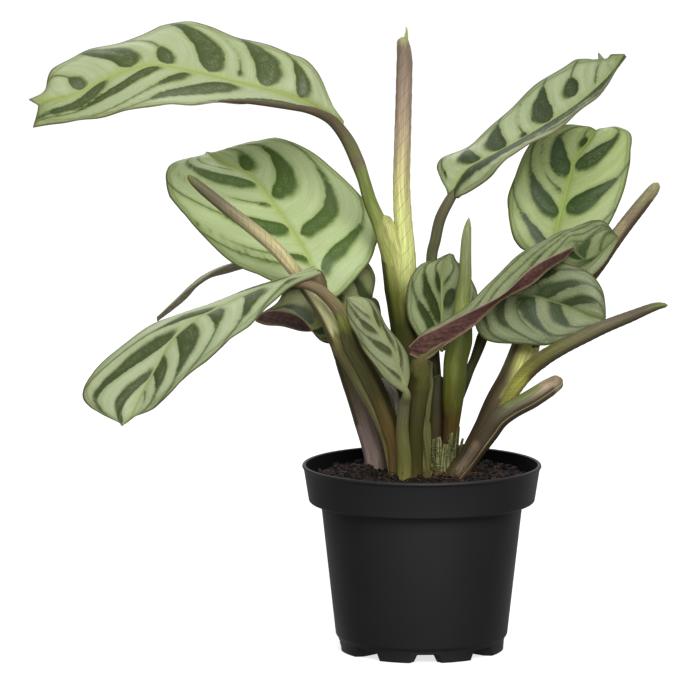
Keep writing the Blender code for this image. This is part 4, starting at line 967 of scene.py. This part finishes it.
def sheet_faces(rows, columns):
    """Upper, lower and side faces of a thin sheet: a grid of points, and as many below it after them."""
    below = rows * columns
    upper = [(a, a + 1, a + 1 + columns, a + columns)
             for row in range(rows - 1) for a in range(row * columns, (row + 1) * columns - 1)]
    lower = [tuple(v + below for v in reversed(face)) for face in upper]
    border = [*range(columns - 1), *range(columns - 1, below - 1, columns),
              *range(below - 1, below - columns, -1), *range(below - columns, 0, -columns)]
    sides = [(v, v + below, x + below, x) for v, x in zip(border, border[1:] + border[:1])]
    return upper, lower, sides


def mesh_object(name, points, faces, materials, material_index=None):
    """A smooth mesh object from points in millimetres."""
    mesh = bpy.data.meshes.new(name)
    mesh.from_pydata((np.asarray(points) * MM).tolist(), [], faces)
    for made in materials:
        mesh.materials.append(made)
    if material_index is not None:
        mesh.polygons.foreach_set("material_index", np.asarray(material_index, np.int32))
    mesh.shade_smooth()
    piece = bpy.data.objects.new(name, mesh)
    bpy.context.scene.collection.objects.link(piece)
    return piece


def store(piece, name, values, domain="POINT"):
    """Keep a number or a vector for each point or face corner under a name."""
    values = np.asarray(values, np.float32)
    kind = "FLOAT" if values.ndim == 1 else "FLOAT_VECTOR"
    attribute = piece.data.attributes.new(name, kind, domain)
    attribute.data.foreach_set("value" if kind == "FLOAT" else "vector", values.ravel())


def dress(piece, node):
    """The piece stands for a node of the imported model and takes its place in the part."""
    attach(piece, "root")
    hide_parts(node)


def blade_length(name):
    """Length of a blade along its midrib, in millimetres."""
    return stations_along([row[1] for row in BLADES[name]], [0])[1]


def blade_surface(name, shares, across):
    """A blade's face and half widths, by shares along the midrib and places across from -1 to 1."""
    left, rib, right = ([row[k] for row in BLADES[name]] for k in range(3))
    at, _ = stations_along(rib, shares)
    middle = curve_through(rib, at)
    forward = unit(curve_through(rib, at + 0.02) - curve_through(rib, at - 0.02))
    surface = np.zeros((len(shares), len(across), 3))
    half_width = np.zeros((len(shares), len(across)))
    for column, t in enumerate(across):
        edge = curve_through(right if t > 0 else left, at)
        reach = edge - middle
        up = unit(np.cross(reach if t > 0 else -reach, forward))
        width = np.linalg.norm(reach, axis=1, keepdims=True)
        arch = ARCHES.get(name, (ARCH, ARCH))[1 if t > 0 else 0]
        arch = arch * 4 * abs(t) * (1 - abs(t)) * np.clip(width / ARCH_FULL_WIDTH, 0, 1)
        surface[:, column] = middle + reach * abs(t) + up * arch
        half_width[:, column] = width[:, 0]
    return surface, half_width


def blade_form(name, shares, across, length):
    """A blade's upper face and underside, quilted between its side veins, with its places and half widths."""
    top, half_width = blade_surface(name, shares, across)
    normal = unit(np.cross(np.gradient(top, axis=1), np.gradient(top, axis=0)))
    s, t = np.meshgrid(shares, across, indexing="ij")
    w = np.abs(t)
    outward = unit(np.gradient(top, axis=1)) * np.sign(t)[..., None]
    quilt = np.zeros_like(s)
    for side, chosen in (("left", t < 0), ("right", t > 0)):
        places, sizes = zip(*EDGE_FORMS.get(name, {}).get(side, ((0, 0),)))
        top = top + outward * (np.interp(s, places, sizes) * w ** 4 * chosen)[..., None]
        slow, fast = MARKINGS[name][side][0]
        root = (s - slow * w - fast * w ** 3) * length
        quilt = np.where(chosen, np.sin(root * 2 * math.pi / QUILT_SPACING), quilt)
    quilt = QUILT_DEPTH * quilt * np.sin(np.clip(w, 0, 1) * math.pi)
    quilt = quilt * np.clip(half_width / QUILT_FULL_WIDTH, 0, 1)
    ruffle = RUFFLE_DEPTH * np.sin(s * length / RUFFLE_LENGTH + 2 * t) * w ** 6
    ruffle = ruffle * np.clip(half_width / ARCH_FULL_WIDTH, 0, 1)
    by_rib = np.exp(-(w * half_width / RIB_HALF_WIDTH) ** 2)
    groove = RIB_GROOVE * by_rib * np.sin(np.clip(s + 0.2, 0, 1) * math.pi)
    top = top + normal * (quilt + ruffle - groove)[..., None]
    under = top - normal * (BLADE_THICKNESS + RIB_HEIGHT * (1 - 0.8 * s) * by_rib)[..., None]
    return top, under, s, t, half_width


def bar_places(s, w, half_width, length, sweep, bars):
    """For faces' corners (n, 4): signed distance in mm from the nearest side vein that bears a marking, the
    share of the marking's reach, how far outside all markings, and where the own side vein leaves the rib."""
    slow, fast = sweep
    swept = slow * w + fast * w ** 3
    slope = (slow + 3 * fast * w ** 2) / np.maximum(half_width, 2)
    per_share = 1 / np.sqrt((1 / length) ** 2 + slope ** 2)
    places, widths = zip(*BAR_PROFILE)
    outside = np.full(s.shape, FAR_AWAY)
    distance = []
    away = []
    bars = [(*bar, 0.0)[:5] for bar in bars]
    for root, start, end, width, lean in bars:
        off = (s - swept - lean * w - root) * per_share
        reach = np.interp((w - start) / (end - start), places, widths) * width
        reach = reach - BAR_RIBWARD * np.maximum(start - w, 0) * half_width
        outside = np.minimum(outside, np.maximum(off * BAR_TIPWARD, -off * BAR_FOOTWARD) - reach)
        distance.append(off)
        away.append(np.abs(off).mean(axis=1) + FAR_AWAY * (w.max(axis=1) <= start))
    chosen = np.argmin(away, axis=0)
    table = np.array(bars)[chosen]
    off = np.take_along_axis(np.array(distance), chosen[None, :, None], axis=0)[0]
    share = (w - table[:, 1:2]) / (table[:, 2:3] - table[:, 1:2])
    return off, share, outside, (s - swept) * length


def add_blade(name):
    """A leaf: a fine grid with its markings laid along its side veins."""
    length = blade_length(name)
    count = round(length / BLADE_STEP)
    # The rows crowd towards the foot and the tip, and the columns towards the midrib.
    shares = (1 - np.cos(np.linspace(0.06, 0.97, count) * math.pi)) / 2
    shares = (shares - shares[0]) / (shares[-1] - shares[0])
    across = np.linspace(-1, 1, BLADE_COLUMNS + 1)
    across = np.sign(across) * np.abs(across) ** 1.25
    top, under, *places = blade_form(name, shares, across, length)
    upper, lower, sides = sheet_faces(count, BLADE_COLUMNS + 1)
    faces = upper + lower + sides
    corners = np.array(faces) % (count * (BLADE_COLUMNS + 1))
    s, t, half_width = (values.ravel()[corners] for values in places)
    w = np.abs(t)
    on_left = t.mean(axis=1) < 0
    found = np.zeros((4, *s.shape))
    for side, chosen in (("left", on_left), ("right", ~on_left)):
        found[:, chosen] = bar_places(s[chosen], w[chosen], half_width[chosen], length, *MARKINGS[name][side])
    off, share, outside, vein = found
    from_edge = np.minimum((1 - w) * half_width, (1 - s) * length * 0.8 + 0.2)
    tints = TINTS.get(name, USUAL_TINTS)
    piece = mesh_object(f"{name}_piece", np.concatenate([top.reshape(-1, 3), under.reshape(-1, 3)]), faces,
                        [blade_upper(name, tints, RIBS.get(name, tints[1])), blade_under(name, tints[-1])],
                        [0] * len(upper) + [1] * (len(lower) + len(sides)))
    store(piece, "blade_place", np.stack([w * half_width, from_edge, vein], axis=-1).reshape(-1, 3), "CORNER")
    store(piece, "bar_place", np.stack([off, share, outside], axis=-1).reshape(-1, 3), "CORNER")
    dress(piece, name)


def tube_mesh(points, kind, facing):
    """A stem round a path: its points, its faces, each point's place for the fibres, and each corner's place
    round and along it. Its margin or seam faces a turn from the front."""
    path = [p[:3] for p in points]
    length = stations_along(path, [0])[1]
    count = max(8, round(length / STEM_STEP))
    at = stations_along(path, np.linspace(0, 1, count))[0]
    radii = np.interp(at, range(len(points)), [p[3] for p in points])
    along = np.linspace(0, length, count)
    # The top closes in a quick curve.
    closing = np.clip((length - along) / np.maximum(radii[-1], 0.4), 0, 1)
    radii = radii * np.sqrt(1 - (1 - closing) ** 2 * 0.97)
    centres = curve_through(path, at)
    forward = unit(np.gradient(centres, axis=0))
    side = unit(np.cross(forward, (0.0, 1.0, 0.0)))
    other = np.cross(forward, side)
    turn = np.linspace(0, 1, STEM_SIDES + 1)
    angle = 2 * math.pi * (turn[None, :] + facing)
    # Low ribs run up it.
    ribs = 1 + 0.018 * np.sin(9 * angle + length) + 0.01 * np.sin(17 * angle)
    wide, deep = SHEATH_FORM if kind in SHEATHS else (1.0, 1.0)
    if kind in WRAPS:
        starts, spacing, _ = WRAPS[kind]
        ribs = ribs * (1 + LAP_STEP * ((along[:, None] / spacing - starts * turn) % 1 - 0.5))
    if kind in SHEATHS:
        ribs = ribs * (1 + MARGIN_STEP * (0.5 - turn[None, :] ** 3))
    size = radii[:, None] * ribs
    if kind == "split":
        # It is torn open on one side.
        size = size * (1 + 0.25 * np.sin(along[:, None] / 4 + 5 * angle) * (turn[None, :] < 0.5))
    ring = centres[:, None] + (size * np.cos(angle) * wide)[..., None] * side[:, None]
    ring = ring + (size * np.sin(angle) * deep)[..., None] * other[:, None]
    verts = ring[:, :-1].reshape(-1, 3)
    spread = 1.4 * radii[:, None]
    fibre = np.stack([np.cos(angle[:, :-1]) * spread, np.sin(angle[:, :-1]) * spread,
                      np.repeat(along[:, None] * 0.05 + length, STEM_SIDES, axis=1)], axis=-1).reshape(-1, 3)
    faces = []
    corners = []
    for k in range(count - 1):
        faces += band(k * STEM_SIDES, (k + 1) * STEM_SIDES, STEM_SIDES)
        for n in range(STEM_SIDES):
            corners += [(turn[m], along[row], row / count)
                        for m, row in ((n, k), (n + 1, k), (n + 1, k + 1), (n, k + 1))]
    faces.append(tuple(range(STEM_SIDES - 1, -1, -1)))
    faces.append(tuple(range((count - 1) * STEM_SIDES, count * STEM_SIDES)))
    corners += [(0.5, 0.0, 0.0)] * STEM_SIDES + [(0.5, length, 1.0)] * STEM_SIDES
    return verts, faces, fibre, corners


def add_shoot(name):
    """A shoot: its sheaths, stalks and rolled leaf, each with its own finish."""
    verts, faces, fibre, corners, kinds, materials = [], [], [], [], [], []
    for k, (points, (kind, colours)) in enumerate(zip(STEMS[name], STEM_FINISHES[name])):
        facing = 0.62 + 0.23 * k if kind in SHEATHS else 0.25
        new_verts, new_faces, new_fibre, new_corners = tube_mesh(points, kind, facing)
        base = len(verts)
        verts += new_verts.tolist()
        faces += [tuple(v + base for v in face) for face in new_faces]
        fibre += new_fibre.tolist()
        corners += new_corners
        kinds += [k] * len(new_faces)
        patches_and_painted_shading = [((low + high) / 2 - facing, (high - low) / 2, (start + end) / 2, (end - start) / 2, tint)
                   for number, low, high, start, end, tint in STEM_PATCHES_AND_PAINTED_SHADING.get(name, ()) if number == k]
        materials.append(stem_surface(f"{kind} {k + 1} of {name}", kind, colours, patches_and_painted_shading))
    piece = mesh_object(f"{name}_piece", verts, faces, materials, kinds)
    store(piece, "fibre", fibre)
    store(piece, "wrap", corners, "CORNER")
    dress(piece, name)


def add_dry_sheath():
    """The dried sheath in front: a thin curled strip with fine pleats down it."""
    shares = np.linspace(0, 1, 40)
    across = np.linspace(-1, 1, 13)
    top, _ = blade_surface("dry_sheath", shares, across)
    normal = unit(np.cross(np.gradient(top, axis=1), np.gradient(top, axis=0)))
    top = top + normal * (0.15 * np.sin(across * 14))[None, :, None]
    under = top - normal * BLADE_THICKNESS
    s, t = np.meshgrid(shares, across, indexing="ij")
    fibre = np.stack([t * 4, np.zeros_like(t), s * blade_length("dry_sheath") * 0.05], axis=-1).reshape(-1, 3)
    upper, lower, sides = sheet_faces(*s.shape)
    piece = mesh_object("dry_sheath_piece", np.concatenate([top.reshape(-1, 3), under.reshape(-1, 3)]),
                        upper + lower + sides, [dry_sheath_surface("grey dried sheath", *GREY_FIBRES)])
    store(piece, "fibre", np.concatenate([fibre, fibre]))
    dress(piece, "dry_sheath")


def collar_point(out, turn):
    """X and Y on the torn sheath at a turn, a distance out from its middle layer."""
    return [middle + (radius + out) * share
            for middle, radius, share in zip(TORN_SHEATH_CENTRE, TORN_SHEATH_RADII, polar(1, turn))]


def add_torn_sheath():
    """The ragged collar of old sheath: strips that bend out at their torn tops, and curly loose fibres."""
    draw = random.Random(7)
    low_turn, high_turn = (math.radians(a) for a in TORN_SHEATH_ARC)
    strip_turn = (high_turn - low_turn) / TORN_STRIPS
    base = SOIL_TOP - 4
    verts, faces, fibre = [], [], []
    for strip in range(TORN_STRIPS):
        centre = low_turn + strip_turn * (strip + 0.5)
        top = draw.uniform(*TORN_SHEATH_HEIGHT)
        flare = draw.uniform(0.2, 4.4)
        twist = draw.uniform(-0.12, 0.12)
        layer = draw.uniform(-0.9, 0.9)
        start = len(verts)
        for side in (STRIP_THICKNESS, 0.0):
            for row in range(STRIP_ROWS):
                share = row / (STRIP_ROWS - 1)
                narrow = STRIP_OVERLAP * strip_turn * (1 - 0.6 * share ** 4)
                for column in range(STRIP_COLUMNS):
                    across = column / (STRIP_COLUMNS - 1) * 2 - 1
                    out = layer + side + flare * share ** 2 + 0.5 * across ** 2 * share
                    ragged = 1.6 * share * noise.noise((strip * 3.1 + across * 2, 0, 5))
                    height = base + (top - base) * share + ragged - 0.9 * flare * share ** 5
                    verts.append((*collar_point(out, centre + across * narrow + twist * share), height))
                    fibre.append((strip * 1.7 + across * 1.6, layer, share * 0.7))
        for part in sheet_faces(STRIP_ROWS, STRIP_COLUMNS):
            faces += [tuple(start + v for v in face) for face in part]
    for _ in range(TORN_FIBRES):
        turn = draw.uniform(low_turn, high_turn)
        out = draw.uniform(-0.5, 3.0)
        start = Vector((*collar_point(out, turn), draw.uniform(88, 105)))
        lean = Vector((draw.uniform(-6, 6), draw.uniform(-2.5, 1), draw.uniform(-1, 7)))
        hair(verts, faces, fibre, start, start + lean, draw.uniform(0.12, 0.28), draw)
    piece = mesh_object("torn_sheath_piece", verts, faces,
                        [dry_sheath_surface("straw dried sheath", *STRAW_FIBRES)])
    store(piece, "fibre", fibre)
    dress(piece, "torn_sheath")


def hair(verts, faces, fibre, start, end, radius, draw):
    """Add a thin bent fibre of triangular section between two points."""
    base = len(verts)
    bend = Vector((draw.uniform(-1, 1), draw.uniform(-1, 1), draw.uniform(-0.4, 0.8)))
    bend = bend * (end - start).length * 0.3
    ahead = (end - start).normalized()
    side = ahead.orthogonal().normalized()
    other = ahead.cross(side)
    for k in range(HAIR_STEPS + 1):
        share = k / HAIR_STEPS
        centre = start.lerp(end, share) + bend * 4 * share * (1 - share)
        size = radius * (1 - 0.6 * share)
        for n in range(3):
            x, y = polar(size, 2 * math.pi * n / 3)
            verts.append(tuple(centre + side * x + other * y))
            fibre.append((base * 0.7, n * 0.1, share))
    top = base + 3 * HAIR_STEPS
    faces.append((base + 2, base + 1, base))
    for low in range(base, top, 3):
        faces += band(low, low + 3, 3)
    faces.append((top, top + 1, top + 2))


def crumb(verts, faces, centre, size, draw):
    """Add a rough lump with twenty faces."""
    base = len(verts)
    golden = (1 + math.sqrt(5)) / 2
    corners = [(-1, golden, 0), (1, golden, 0), (-1, -golden, 0), (1, -golden, 0),
               (0, -1, golden), (0, 1, golden), (0, -1, -golden), (0, 1, -golden),
               (golden, 0, -1), (golden, 0, 1), (-golden, 0, -1), (-golden, 0, 1)]
    stretch = [draw.uniform(0.4, 1.2) for _ in range(3)]
    for corner in corners:
        grown = size * 0.5 * draw.uniform(0.6, 1.3)
        verts.append(tuple(centre[k] + corner[k] * grown * stretch[k] for k in range(3)))
    for face in ((0, 11, 5), (0, 5, 1), (0, 1, 7), (0, 7, 10), (0, 10, 11), (1, 5, 9), (5, 11, 4),
                 (11, 10, 2), (10, 7, 6), (7, 1, 8), (3, 9, 4), (3, 4, 2), (3, 2, 6), (3, 6, 8),
                 (3, 8, 9), (4, 9, 5), (2, 4, 11), (6, 2, 10), (8, 6, 7), (9, 8, 1)):
        faces.append(tuple(base + v for v in face))


def peat_height(x, y):
    """Height of the peat's top: level in the middle, lower by the wall, with lumps."""
    share = min(1.0, max(0.0, (math.hypot(x, y) - 30) / 24))
    level = SOIL_TOP + (SOIL_EDGE - SOIL_TOP) * share * share
    lumps = 1.3 * noise.fractal((x / 9, y / 9, 0.3), 1.0, 2.0, 3) + 1.1 * noise.noise((x / 2.6, y / 2.6, 4.0))
    return level + lumps


def add_soil():
    """Peat that fills the pot: a lumpy top, crumbs and bits of root on it."""
    draw = random.Random(11)
    rings = round(PEAT_RADIUS / PEAT_STEP)
    turns = [2 * math.pi * k / PEAT_SEGMENTS for k in range(PEAT_SEGMENTS)]
    verts = [(0, 0, peat_height(0, 0))]
    for ring in range(1, rings + 1):
        for x, y in (polar(PEAT_RADIUS * ring / rings, turn) for turn in turns):
            verts.append((x, y, peat_height(x, y)))
    for radius, height in PEAT_SIDE:
        verts += [(*polar(radius, turn), height) for turn in turns]
    faces = [(0, 1 + k, 1 + (k + 1) % PEAT_SEGMENTS) for k in range(PEAT_SEGMENTS)]
    for ring in range(rings - 1 + len(PEAT_SIDE)):
        low = 1 + ring * PEAT_SEGMENTS
        faces += [(a, d, c, b) for a, b, c, d in band(low, low + PEAT_SEGMENTS, PEAT_SEGMENTS)]
    faces.append(tuple(range(len(verts) - 1, len(verts) - PEAT_SEGMENTS - 1, -1)))
    tint = [0.0] * len(verts)
    for _ in range(CRUMB_COUNT):
        x, y = polar(PEAT_RADIUS * math.sqrt(draw.random()) * 0.98, draw.uniform(0, 2 * math.pi))
        size = CRUMB_SMALLEST + CRUMB_SPREAD * draw.random() ** 3
        crumb(verts, faces, Vector((x, y, peat_height(x, y) + 0.3 * size)), size, draw)
        tint += [draw.choice((-0.1, -0.05, 0.0, 0.1, 0.25))] * (len(verts) - len(tint))
    unused = []
    for _ in range(FIBRE_COUNT):
        x, y = polar(draw.uniform(6, 52), draw.uniform(0, 2 * math.pi))
        start = Vector((x, y, peat_height(x, y) + 0.3))
        lean = Vector((draw.uniform(-7, 7), draw.uniform(-7, 7), draw.uniform(-0.5, 2.2)))
        hair(verts, faces, unused, start, start + lean, draw.uniform(0.14, 0.3), draw)
        tint += [draw.uniform(0.3, 0.7)] * (len(verts) - len(tint))
    for _ in range(ROOTLET_COUNT):
        start = Vector((draw.uniform(-16, 24), draw.uniform(-26, -8),
                        draw.uniform(SOIL_TOP - 1, SOIL_TOP + 4)))
        lean = Vector((draw.uniform(-8, 8), draw.uniform(-4, 4), draw.uniform(-3, 3)))
        hair(verts, faces, unused, start, start + lean, draw.uniform(0.14, 0.26), draw)
        tint += [draw.uniform(0.45, 0.8)] * (len(verts) - len(tint))
    piece = mesh_object("peat_piece", verts, faces, [peat_surface()])
    store(piece, "tint", tint)
    dress(piece, "soil")


def arc(centre, radius, start, end, steps):
    """Points of an arc in the profile plane, angles in degrees."""
    turns = [math.radians(start + (end - start) * k / steps) for k in range(steps + 1)]
    return [(centre[0] + x, centre[1] + y) for x, y in (polar(radius, turn) for turn in turns)]


def turned(name, profile, material):
    """A closed solid turned about Z from (radius, height) points, both ends on the axis."""
    verts = []
    rings = []
    for radius, height in profile:
        rings.append((len(verts), radius))
        turns = [2 * math.pi * (k + 0.5) / POT_SEGMENTS for k in range(POT_SEGMENTS if radius else 1)]
        verts += [(*polar(radius, turn), height) for turn in turns]
    faces = []
    for (low, low_radius), (high, high_radius) in zip(rings, rings[1:]):
        for a, b, c, d in band(low, high, POT_SEGMENTS):
            if low_radius and high_radius:
                faces.append((a, b, c, d))
            else:
                faces.append((a, b, high) if low_radius else (low, c, d))
    return mesh_object(name, verts, faces, [material])


def drain_cutter(turn):
    """A channel under the pot's floor that splays out where it leaves the foot."""
    c, s = polar(1, turn)
    verts = []
    for x, half in ((DRAIN_INNER, DRAIN_NARROW), (FOOT_RADIUS - DRAIN_SPLAY, DRAIN_NARROW),
                    (FOOT_RADIUS + 1.5, DRAIN_WIDE), (FOOT_RADIUS + 6, DRAIN_WIDE + 2)):
        outline = [(-half - DRAIN_FLARE, -1.0), (half + DRAIN_FLARE, -1.0),
                   *arc((half - DRAIN_ROUND, DRAIN_HEIGHT - DRAIN_ROUND), DRAIN_ROUND, 0, 90, 4),
                   *arc((DRAIN_ROUND - half, DRAIN_HEIGHT - DRAIN_ROUND), DRAIN_ROUND, 90, 180, 4)]
        verts += [(x * c - y * s, x * s + y * c, z) for y, z in outline]
    n = len(outline)
    faces = [tuple(range(n - 1, -1, -1)), tuple(range(3 * n, 4 * n))]
    for low in (0, n, 2 * n):
        faces += band(low, low + n, n)
    return mesh_object("drain", verts, faces, [])


def add_pot():
    """Nursery pot: thin wall, wide collar with a rolled lip, drain notches round the foot."""
    inner = WALL_BASE_RADIUS - WALL
    profile = [
        # The outside, from under the foot up to the lip.
        (0, 0), (FOOT_RADIUS - 1.0, 0), *arc((FOOT_RADIUS - 0.9, 0.9), 0.9, -90, 0, 5)[1:],
        (FOOT_RADIUS + 0.2, SHOULDER_HEIGHT - 2.2), (FOOT_RADIUS + 0.6, SHOULDER_HEIGHT - 1.6),
        (WALL_BASE_RADIUS - 0.3, SHOULDER_HEIGHT - 0.5), (WALL_BASE_RADIUS, SHOULDER_HEIGHT + 0.2),
        (WALL_TOP_RADIUS - 0.1, COLLAR_BASE_HEIGHT - 2.4),
        *arc((WALL_TOP_RADIUS + 1.9, COLLAR_BASE_HEIGHT - 2.0), 2.0, 180, 90, 5),
        (COLLAR_BASE_RADIUS - 1.6, COLLAR_BASE_HEIGHT),
        *arc((COLLAR_BASE_RADIUS - 1.5, COLLAR_BASE_HEIGHT + 1.5), 1.5, -90, 0, 6)[1:],
        (RIM_RADIUS - 0.9, RIM_HEIGHT - 3.0), *arc((RIM_RADIUS - LIP, RIM_HEIGHT - LIP), LIP, -60, 150, 12),
        # The inside, from the lip down.
        (RIM_RADIUS - 2.0, RIM_HEIGHT - 2.4), (COLLAR_BASE_RADIUS - WALL, COLLAR_BASE_HEIGHT + 2.2),
        (COLLAR_BASE_RADIUS - WALL - 1.2, COLLAR_BASE_HEIGHT + WALL),
        (WALL_TOP_RADIUS - 0.4, COLLAR_BASE_HEIGHT + WALL - 0.4),
        (WALL_TOP_RADIUS - WALL, COLLAR_BASE_HEIGHT - 1.6),
        (inner, SHOULDER_HEIGHT), (inner - 2.0, POT_FLOOR), (0, POT_FLOOR),
    ]
    piece = turned("pot_piece", profile, pot_surface("black polypropylene", 0.5, 0.34, "#101010", "#151515"))
    cutters = bpy.data.collections.new("cutters")
    bpy.context.scene.collection.children.link(cutters)
    for k in range(DRAIN_COUNT):
        cutter = drain_cutter(math.radians(DRAIN_START + 360 / DRAIN_COUNT * k))
        bpy.context.scene.collection.objects.unlink(cutter)
        cutters.objects.link(cutter)
    notches = piece.modifiers.new("notches", "BOOLEAN")
    notches.operand_type = "COLLECTION"
    notches.collection = cutters
    notches.solver = "EXACT"
    bpy.context.view_layer.update()
    shape = bpy.data.meshes.new_from_object(piece.evaluated_get(bpy.context.evaluated_depsgraph_get()))
    piece.modifiers.clear()
    piece.data = shape
    shape.shade_smooth()
    shape.set_sharp_from_angle(angle=CREASE)
    # The inside, from just under the lip down, is duller and painted darker: painted shade inside the pot.
    shape.materials.append(pot_surface("dull black polypropylene in painted shade", 0.8, 0.1, "#040404", "#080706"))
    for face in shape.polygons:
        inward = face.normal.xy.dot(face.center.xy) < 0
        if inward and POT_FLOOR * MM < face.center.z < (RIM_HEIGHT - LIP) * MM:
            face.material_index = 1
    for cutter in list(cutters.objects):
        bpy.data.objects.remove(cutter)
    bpy.data.collections.remove(cutters)
    dress(piece, "pot")


def add_floor():
    """Plain floor of white opal acrylic, lit a little from below so that shadows on it stay faint."""
    made, _, surface = new_material("white opal acrylic", 0.9, 0.1)
    surface.inputs["Base Color"].default_value = linear("#a8a8a8")
    surface.inputs["Emission Color"].default_value = linear("#ffffff")
    surface.inputs["Emission Strength"].default_value = FLOOR_GLOW
    corners = [(x * FLOOR_REACH, y * FLOOR_REACH, 0) for x, y in ((-1, -1), (1, -1), (1, 1), (-1, 1))]
    floor = mesh_object("floor", corners, [(0, 1, 2, 3)], [made])
    floor.visible_diffuse = False
    floor.visible_glossy = False


def add_light(name, place, size, power):
    """A soft square studio light, placed in millimetres and turned towards the plant."""
    lamp = bpy.data.lights.new(name, "AREA")
    lamp.shape = "RECTANGLE"
    lamp.size = size * MM
    lamp.size_y = size * MM
    lamp.energy = power
    made = bpy.data.objects.new(name, lamp)
    made.location = Vector(place) * MM
    towards = (Vector(LIGHT_AIM) - Vector(place)).normalized()
    made.rotation_euler = towards.to_track_quat("-Z", "Y").to_euler()
    bpy.context.scene.collection.objects.link(made)


def add_studio():
    """A sky that brightens overhead, in front and behind, and two broad lights."""
    scene = bpy.context.scene
    world = bpy.data.worlds.new("studio")
    world.use_nodes = True
    tree = world.node_tree
    direction = add(tree, "ShaderNodeTexCoord", out="Generated")
    _, deep, high = add(tree, "ShaderNodeSeparateXYZ", (direction,)).node.outputs
    above = add(tree, RANGE, (high, 0.0, 0.9, SKY_LOW, SKY_HIGH))
    front = add(tree, RANGE, (deep, -1.0, 0.1, FRONT_GLOW, 0.0))
    back = add(tree, RANGE, (deep, 0.1, 1.0, 0.0, BACK_GLOW))
    glow = add(tree, MATH, (above, front), operation="ADD")
    glow = add(tree, MATH, (glow, back), operation="ADD")
    # The camera sees it plain white.
    seen = add(tree, "ShaderNodeLightPath", out="Is Camera Ray")
    glow = add(tree, MATH, (seen, glow), operation="MAXIMUM")
    background = tree.nodes["Background"]
    background.inputs["Color"].default_value = (1.0, 1.0, 1.0, 1.0)
    tree.links.new(glow, background.inputs["Strength"])
    scene.world = world
    add_light("key light", (300, -1500, 1150), 900, KEY_POWER)
    add_light("back light", (-300, 1300, 1700), 1200, BACK_POWER)
    scene.view_settings.view_transform = "Standard"
    scene.view_settings.look = "None"


def add_camera():
    """The photograph's viewpoint: a long lens from a little above the pot's rim."""
    lens = bpy.data.cameras.new("camera")
    lens.sensor_width = SENSOR_WIDTH
    lens.lens = SENSOR_WIDTH * PIXELS_PER_MM * CAMERA_DISTANCE / FRAME_PIXELS
    lens.clip_start = 0.1
    lens.clip_end = 50
    camera = bpy.data.objects.new("camera", lens)
    aim = Vector(CAMERA_AIM)
    back = Vector((0, -math.cos(CAMERA_RISE), math.sin(CAMERA_RISE)))
    camera.location = (aim + back * CAMERA_DISTANCE) * MM
    camera.rotation_euler = (-back).to_track_quat("-Z", "Y").to_euler()
    bpy.context.scene.collection.objects.link(camera)
    bpy.context.scene.camera = camera


add_pot()
add_soil()
for leaf in MARKINGS:
    add_blade(leaf)
for shoot in STEMS:
    add_shoot(shoot)
add_dry_sheath()
add_torn_sheath()
add_floor()
add_studio()
add_camera()

bpy.context.view_layer.update()
